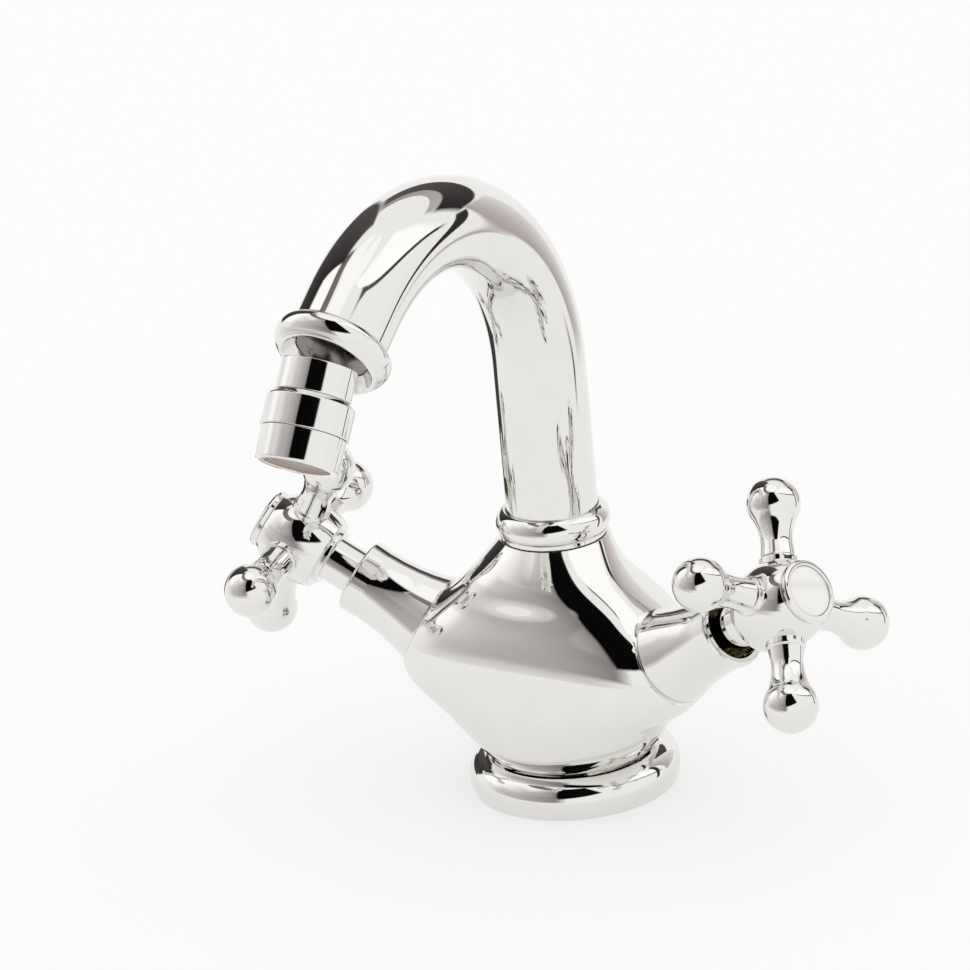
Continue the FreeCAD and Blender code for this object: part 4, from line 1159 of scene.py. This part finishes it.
@dataclass(frozen=True)
class View:
    """Camera as the photograph has it: angles in degrees, lengths in millimetres and pixels."""

    azimuth: float = 32.87
    elevation: float = 20.39
    roll: float = 5.38
    distance: float = 1171.8
    scale: float = 4.155  # pixels per millimetre at the object
    offset_right: float = 15.65
    height: float = 77.26
    frame_width: int = 970
    sensor: float = 36.0
    clip: tuple[float, float] = (0.01, 50.0)  # in metres

    def build(self) -> None:
        """Add the camera and make it the scene's own."""
        lens = bpy.data.cameras.new("camera")
        lens.sensor_width = self.sensor
        lens.lens = self.scale * self.distance / self.frame_width * self.sensor
        lens.clip_start, lens.clip_end = self.clip
        camera = bpy.data.objects.new("camera", lens)
        bpy.context.scene.collection.objects.link(camera)
        turn = rotated(self.azimuth, "Z") @ rotated(90.0 - self.elevation, "X") @ rotated(-self.roll, "Z")
        camera.matrix_world = (moved(0.0, 0.0, self.height) @ turn
                               @ moved(-self.offset_right, 0.0, self.distance))
        bpy.context.scene.camera = camera


@dataclass(frozen=True)
class Card:
    """Toned card beside the tap, seen only in mirrors. It is a patch of a ball.

    Each side runs from its foot to its head. A point is a bearing, from the front towards the right,
    and an elevation, in degrees.

    Attributes:
        name: Name of the card.
        left: Foot and head of its left side.
        right: Foot and head of its right side.
        tone: Tone at its left side, sRGB hex.
        far_tone: Tone at its right side, sRGB hex.
        distance: Radius of the ball, in metres.
        strength: Brightness, where 1 shows the tone as written.
        soft: Share of its width and height over which its edges fade.
    """

    name: str
    left: Edge
    right: Edge
    tone: str
    far_tone: str
    distance: float = 1.6
    strength: float = 1.0
    soft: float = 0.06

    def material(self) -> bpy.types.Material:
        """Build a glowing tone that drifts across the card and fades at its edges.

        Returns:
            The material.
        """
        material, tree = new_material(f"{self.name}_tone")
        material.cycles.emission_sampling = "NONE"
        place = add_node(tree, "ShaderNodeTexCoord", {}).outputs["UV"]
        parts = add_node(tree, "ShaderNodeSeparateXYZ", {"Vector": place}).outputs
        tone = add_node(tree, "ShaderNodeMix", {
            "data_type": "RGBA", "Factor": parts["X"], MIX_FROM: linear(self.tone),
            MIX_TO: linear(self.far_tone)})
        glow = add_node(tree, "ShaderNodeEmission", {
            "Strength": self.strength, "Color": tone.outputs[MIX_RESULT]})
        from_side, from_end = (
            add_node(tree, "ShaderNodeMath", {"operation": "PINGPONG", 0: parts[axis], 1: 0.5})
            for axis in "XY")
        inset = add_node(tree, "ShaderNodeMath", {
            "operation": "MINIMUM", 0: from_side.outputs["Value"], 1: from_end.outputs["Value"]})
        fade = add_node(tree, "ShaderNodeMapRange", {"From Max": self.soft, "Value": inset.outputs["Value"]})
        clear = add_node(tree, "ShaderNodeBsdfTransparent", {})
        blend = add_node(tree, "ShaderNodeMixShader", {
            "Fac": fade.outputs["Result"], 1: clear.outputs["BSDF"], 2: glow.outputs["Emission"]})
        add_node(tree, "ShaderNodeOutputMaterial", {"Surface": blend.outputs["Shader"]})
        return material

    def build(self, height: float) -> None:
        """Bend a grid to the patch about a point above the floor.

        Args:
            height: Height of the middle of the ball, in metres.
        """
        card = fresh(bpy.ops.mesh.primitive_grid_add, x_subdivisions=CARD_CELLS, y_subdivisions=CARD_CELLS,
                     size=1.0)
        card.name = self.name
        for vertex in card.data.vertices:
            across, up = vertex.co.x + 0.5, vertex.co.y + 0.5
            ends = [Vector(foot).lerp(Vector(head), up) for foot, head in (self.left, self.right)]
            bearing, elevation = (math.radians(angle) for angle in ends[0].lerp(ends[1], across))
            level = self.distance * math.cos(elevation)
            vertex.co = (level * math.sin(bearing), -level * math.cos(bearing),
                         height + self.distance * math.sin(elevation))
        card.data.materials.append(self.material())
        card.visible_camera = card.visible_diffuse = card.visible_shadow = False


@dataclass
class Studio:
    """White floor, white surroundings and the toned cards that chrome needs to show its shape."""

    floor_size: float = 12.0
    floor_colour: str = "#F8F8F7"
    floor_glow: float = 0.6
    sky_colour: str = WHITE
    card_height: float = 0.07
    cards: tuple[Card, ...] = (
        Card("camera_side_flag", ((9, 14), (-2, 72)), ((62, 28), (50, 72)), "#080808", "#0C0C0C", 1.5),
        Card("front_wall", ((-70, -3), (-70, 30)), ((20, -3), (20, 30)), "#EDE9E8", "#706969", soft=0.14),
        Card("front_upper_wall", ((-80, 6), (-80, 62)), ((22, 6), (22, 62)), "#E4DFDE", "#8A8383", 1.61,
             soft=0.5),
        Card("front_corner_wall", ((-28, 22), (-28, 61)), ((14, 22), (6, 61)), "#F6F4F3", "#6A6464", 1.62),
        Card("front_skirt", ((-84, -15), (-84, 13)), ((18, -15), (18, 13)), "#D8D2D1", "#A39A99", 0.36,
             soft=0.5),
        Card("left_frame", ((-136, 2), (-138, 62)), ((-97, 4), (-92, 66)), "#5A5555", "#2A2828"),
        Card("left_top_frame", ((-104, 61), (-114, 71)), ((4, 60), (4, 71)), "#6E6969", "#8C8686"),
        Card("back_frame", ((146, 15), (146, 35)), ((226, 28), (226, 41)), "#2A2828", "#625D5D"),
        Card("back_frame_edge", ((146, 34), (146, 42)), ((226, 40), (226, 47)), "#C6BEBC", "#A39C9B"),
        Card("back_wall", ((140, -12), (146, 34)), ((172, -11), (172, 32)), "#B4ABAA", "#F0EDEB", 0.3),
        Card("right_edge", ((121, -14), (139, 32)), ((126, -14), (146, 32)), "#2E2C2C", "#3A3636", 0.28),
        Card("left_edge", ((-122, -19), (-122, -4)), ((-94, -19), (-94, -4)), "#3A3636", "#4A4545", 0.2),
        Card("right_frame", ((79, 57), (79, 61)), ((141, 9), (141, 13)), "#565151", "#3C3838", 1.5),
        Card("left_softbox", ((-100, 14), (-100, 61)), ((-16, 14), (-16, 61)), WHITE, WHITE, 1.7, 1.2),
        Card("right_softbox", ((72, 66), (60, 74)), ((140, 12), (140, 62)), WHITE, WHITE, 1.7, 1.2),
        Card("top_softbox", ((-180, 73), (-180, 90)), ((180, 73), (180, 90)), WHITE, WHITE, 1.7, 1.15),
    )

    def floor(self) -> None:
        """Lay the pale floor under the tap, white to the eye but for the shadow on it."""
        floor = fresh(bpy.ops.mesh.primitive_plane_add, size=self.floor_size)
        floor.name = "studio_floor"
        material, tree = new_material("painted_floor")
        paint = add_node(tree, "ShaderNodeBsdfDiffuse", {"Color": linear(self.floor_colour)})
        glow = add_node(tree, "ShaderNodeEmission", {"Color": linear(self.sky_colour), "Strength": 1.0})
        ray = add_node(tree, "ShaderNodeLightPath", {}).outputs
        seen = add_node(tree, "ShaderNodeMath", {
            "operation": "MAXIMUM", 0: ray["Is Camera Ray"], 1: ray["Is Glossy Ray"]})
        share = add_node(tree, "ShaderNodeMath", {
            "operation": "MULTIPLY", 0: seen.outputs["Value"], 1: self.floor_glow})
        blend = add_node(tree, "ShaderNodeMixShader", {
            "Fac": share.outputs["Value"], 1: paint.outputs["BSDF"], 2: glow.outputs["Emission"]})
        add_node(tree, "ShaderNodeOutputMaterial", {"Surface": blend.outputs["Shader"]})
        floor.data.materials.append(material)

    def sky(self) -> None:
        """Light everything softly from all round."""
        world = bpy.data.worlds.new("studio")
        world.use_nodes = True
        shader = world.node_tree.nodes["Background"]
        shader.inputs["Color"].default_value = linear(self.sky_colour)
        shader.inputs["Strength"].default_value = 1.0
        bpy.context.scene.world = world

    def build(self) -> None:
        """Set up floor, cards, light and colour handling."""
        self.floor()
        self.sky()
        for card in self.cards:
            card.build(self.card_height)
        bpy.context.scene.view_settings.view_transform = "Standard"


def dress_inner_pieces() -> None:
    """Give every CAD node the finish of its slot, because those that nothing replaces still show."""
    for entry in frame["record"]["subparts"]:
        node = frame["nodes"][entry["node"]]
        node.data.materials.clear()
        node.data.materials.append(SLOT_FINISHES[entry["material_slot"]].material())


def main() -> None:
    """Build the tap, its studio and its camera."""
    logging.basicConfig(level=logging.INFO, format="%(name)s: %(message)s")
    View().build()
    arms = (Arm(Side.LEFT, turn=-11.9), Arm(Side.RIGHT, turn=-31.5))
    spout = Spout()
    for assembly in (Base(), Casting(arms), *arms, spout, Aerator(spout)):
        assembly.build()
    dress_inner_pieces()
    Studio().build()


if __name__ == "__main__":
    main()
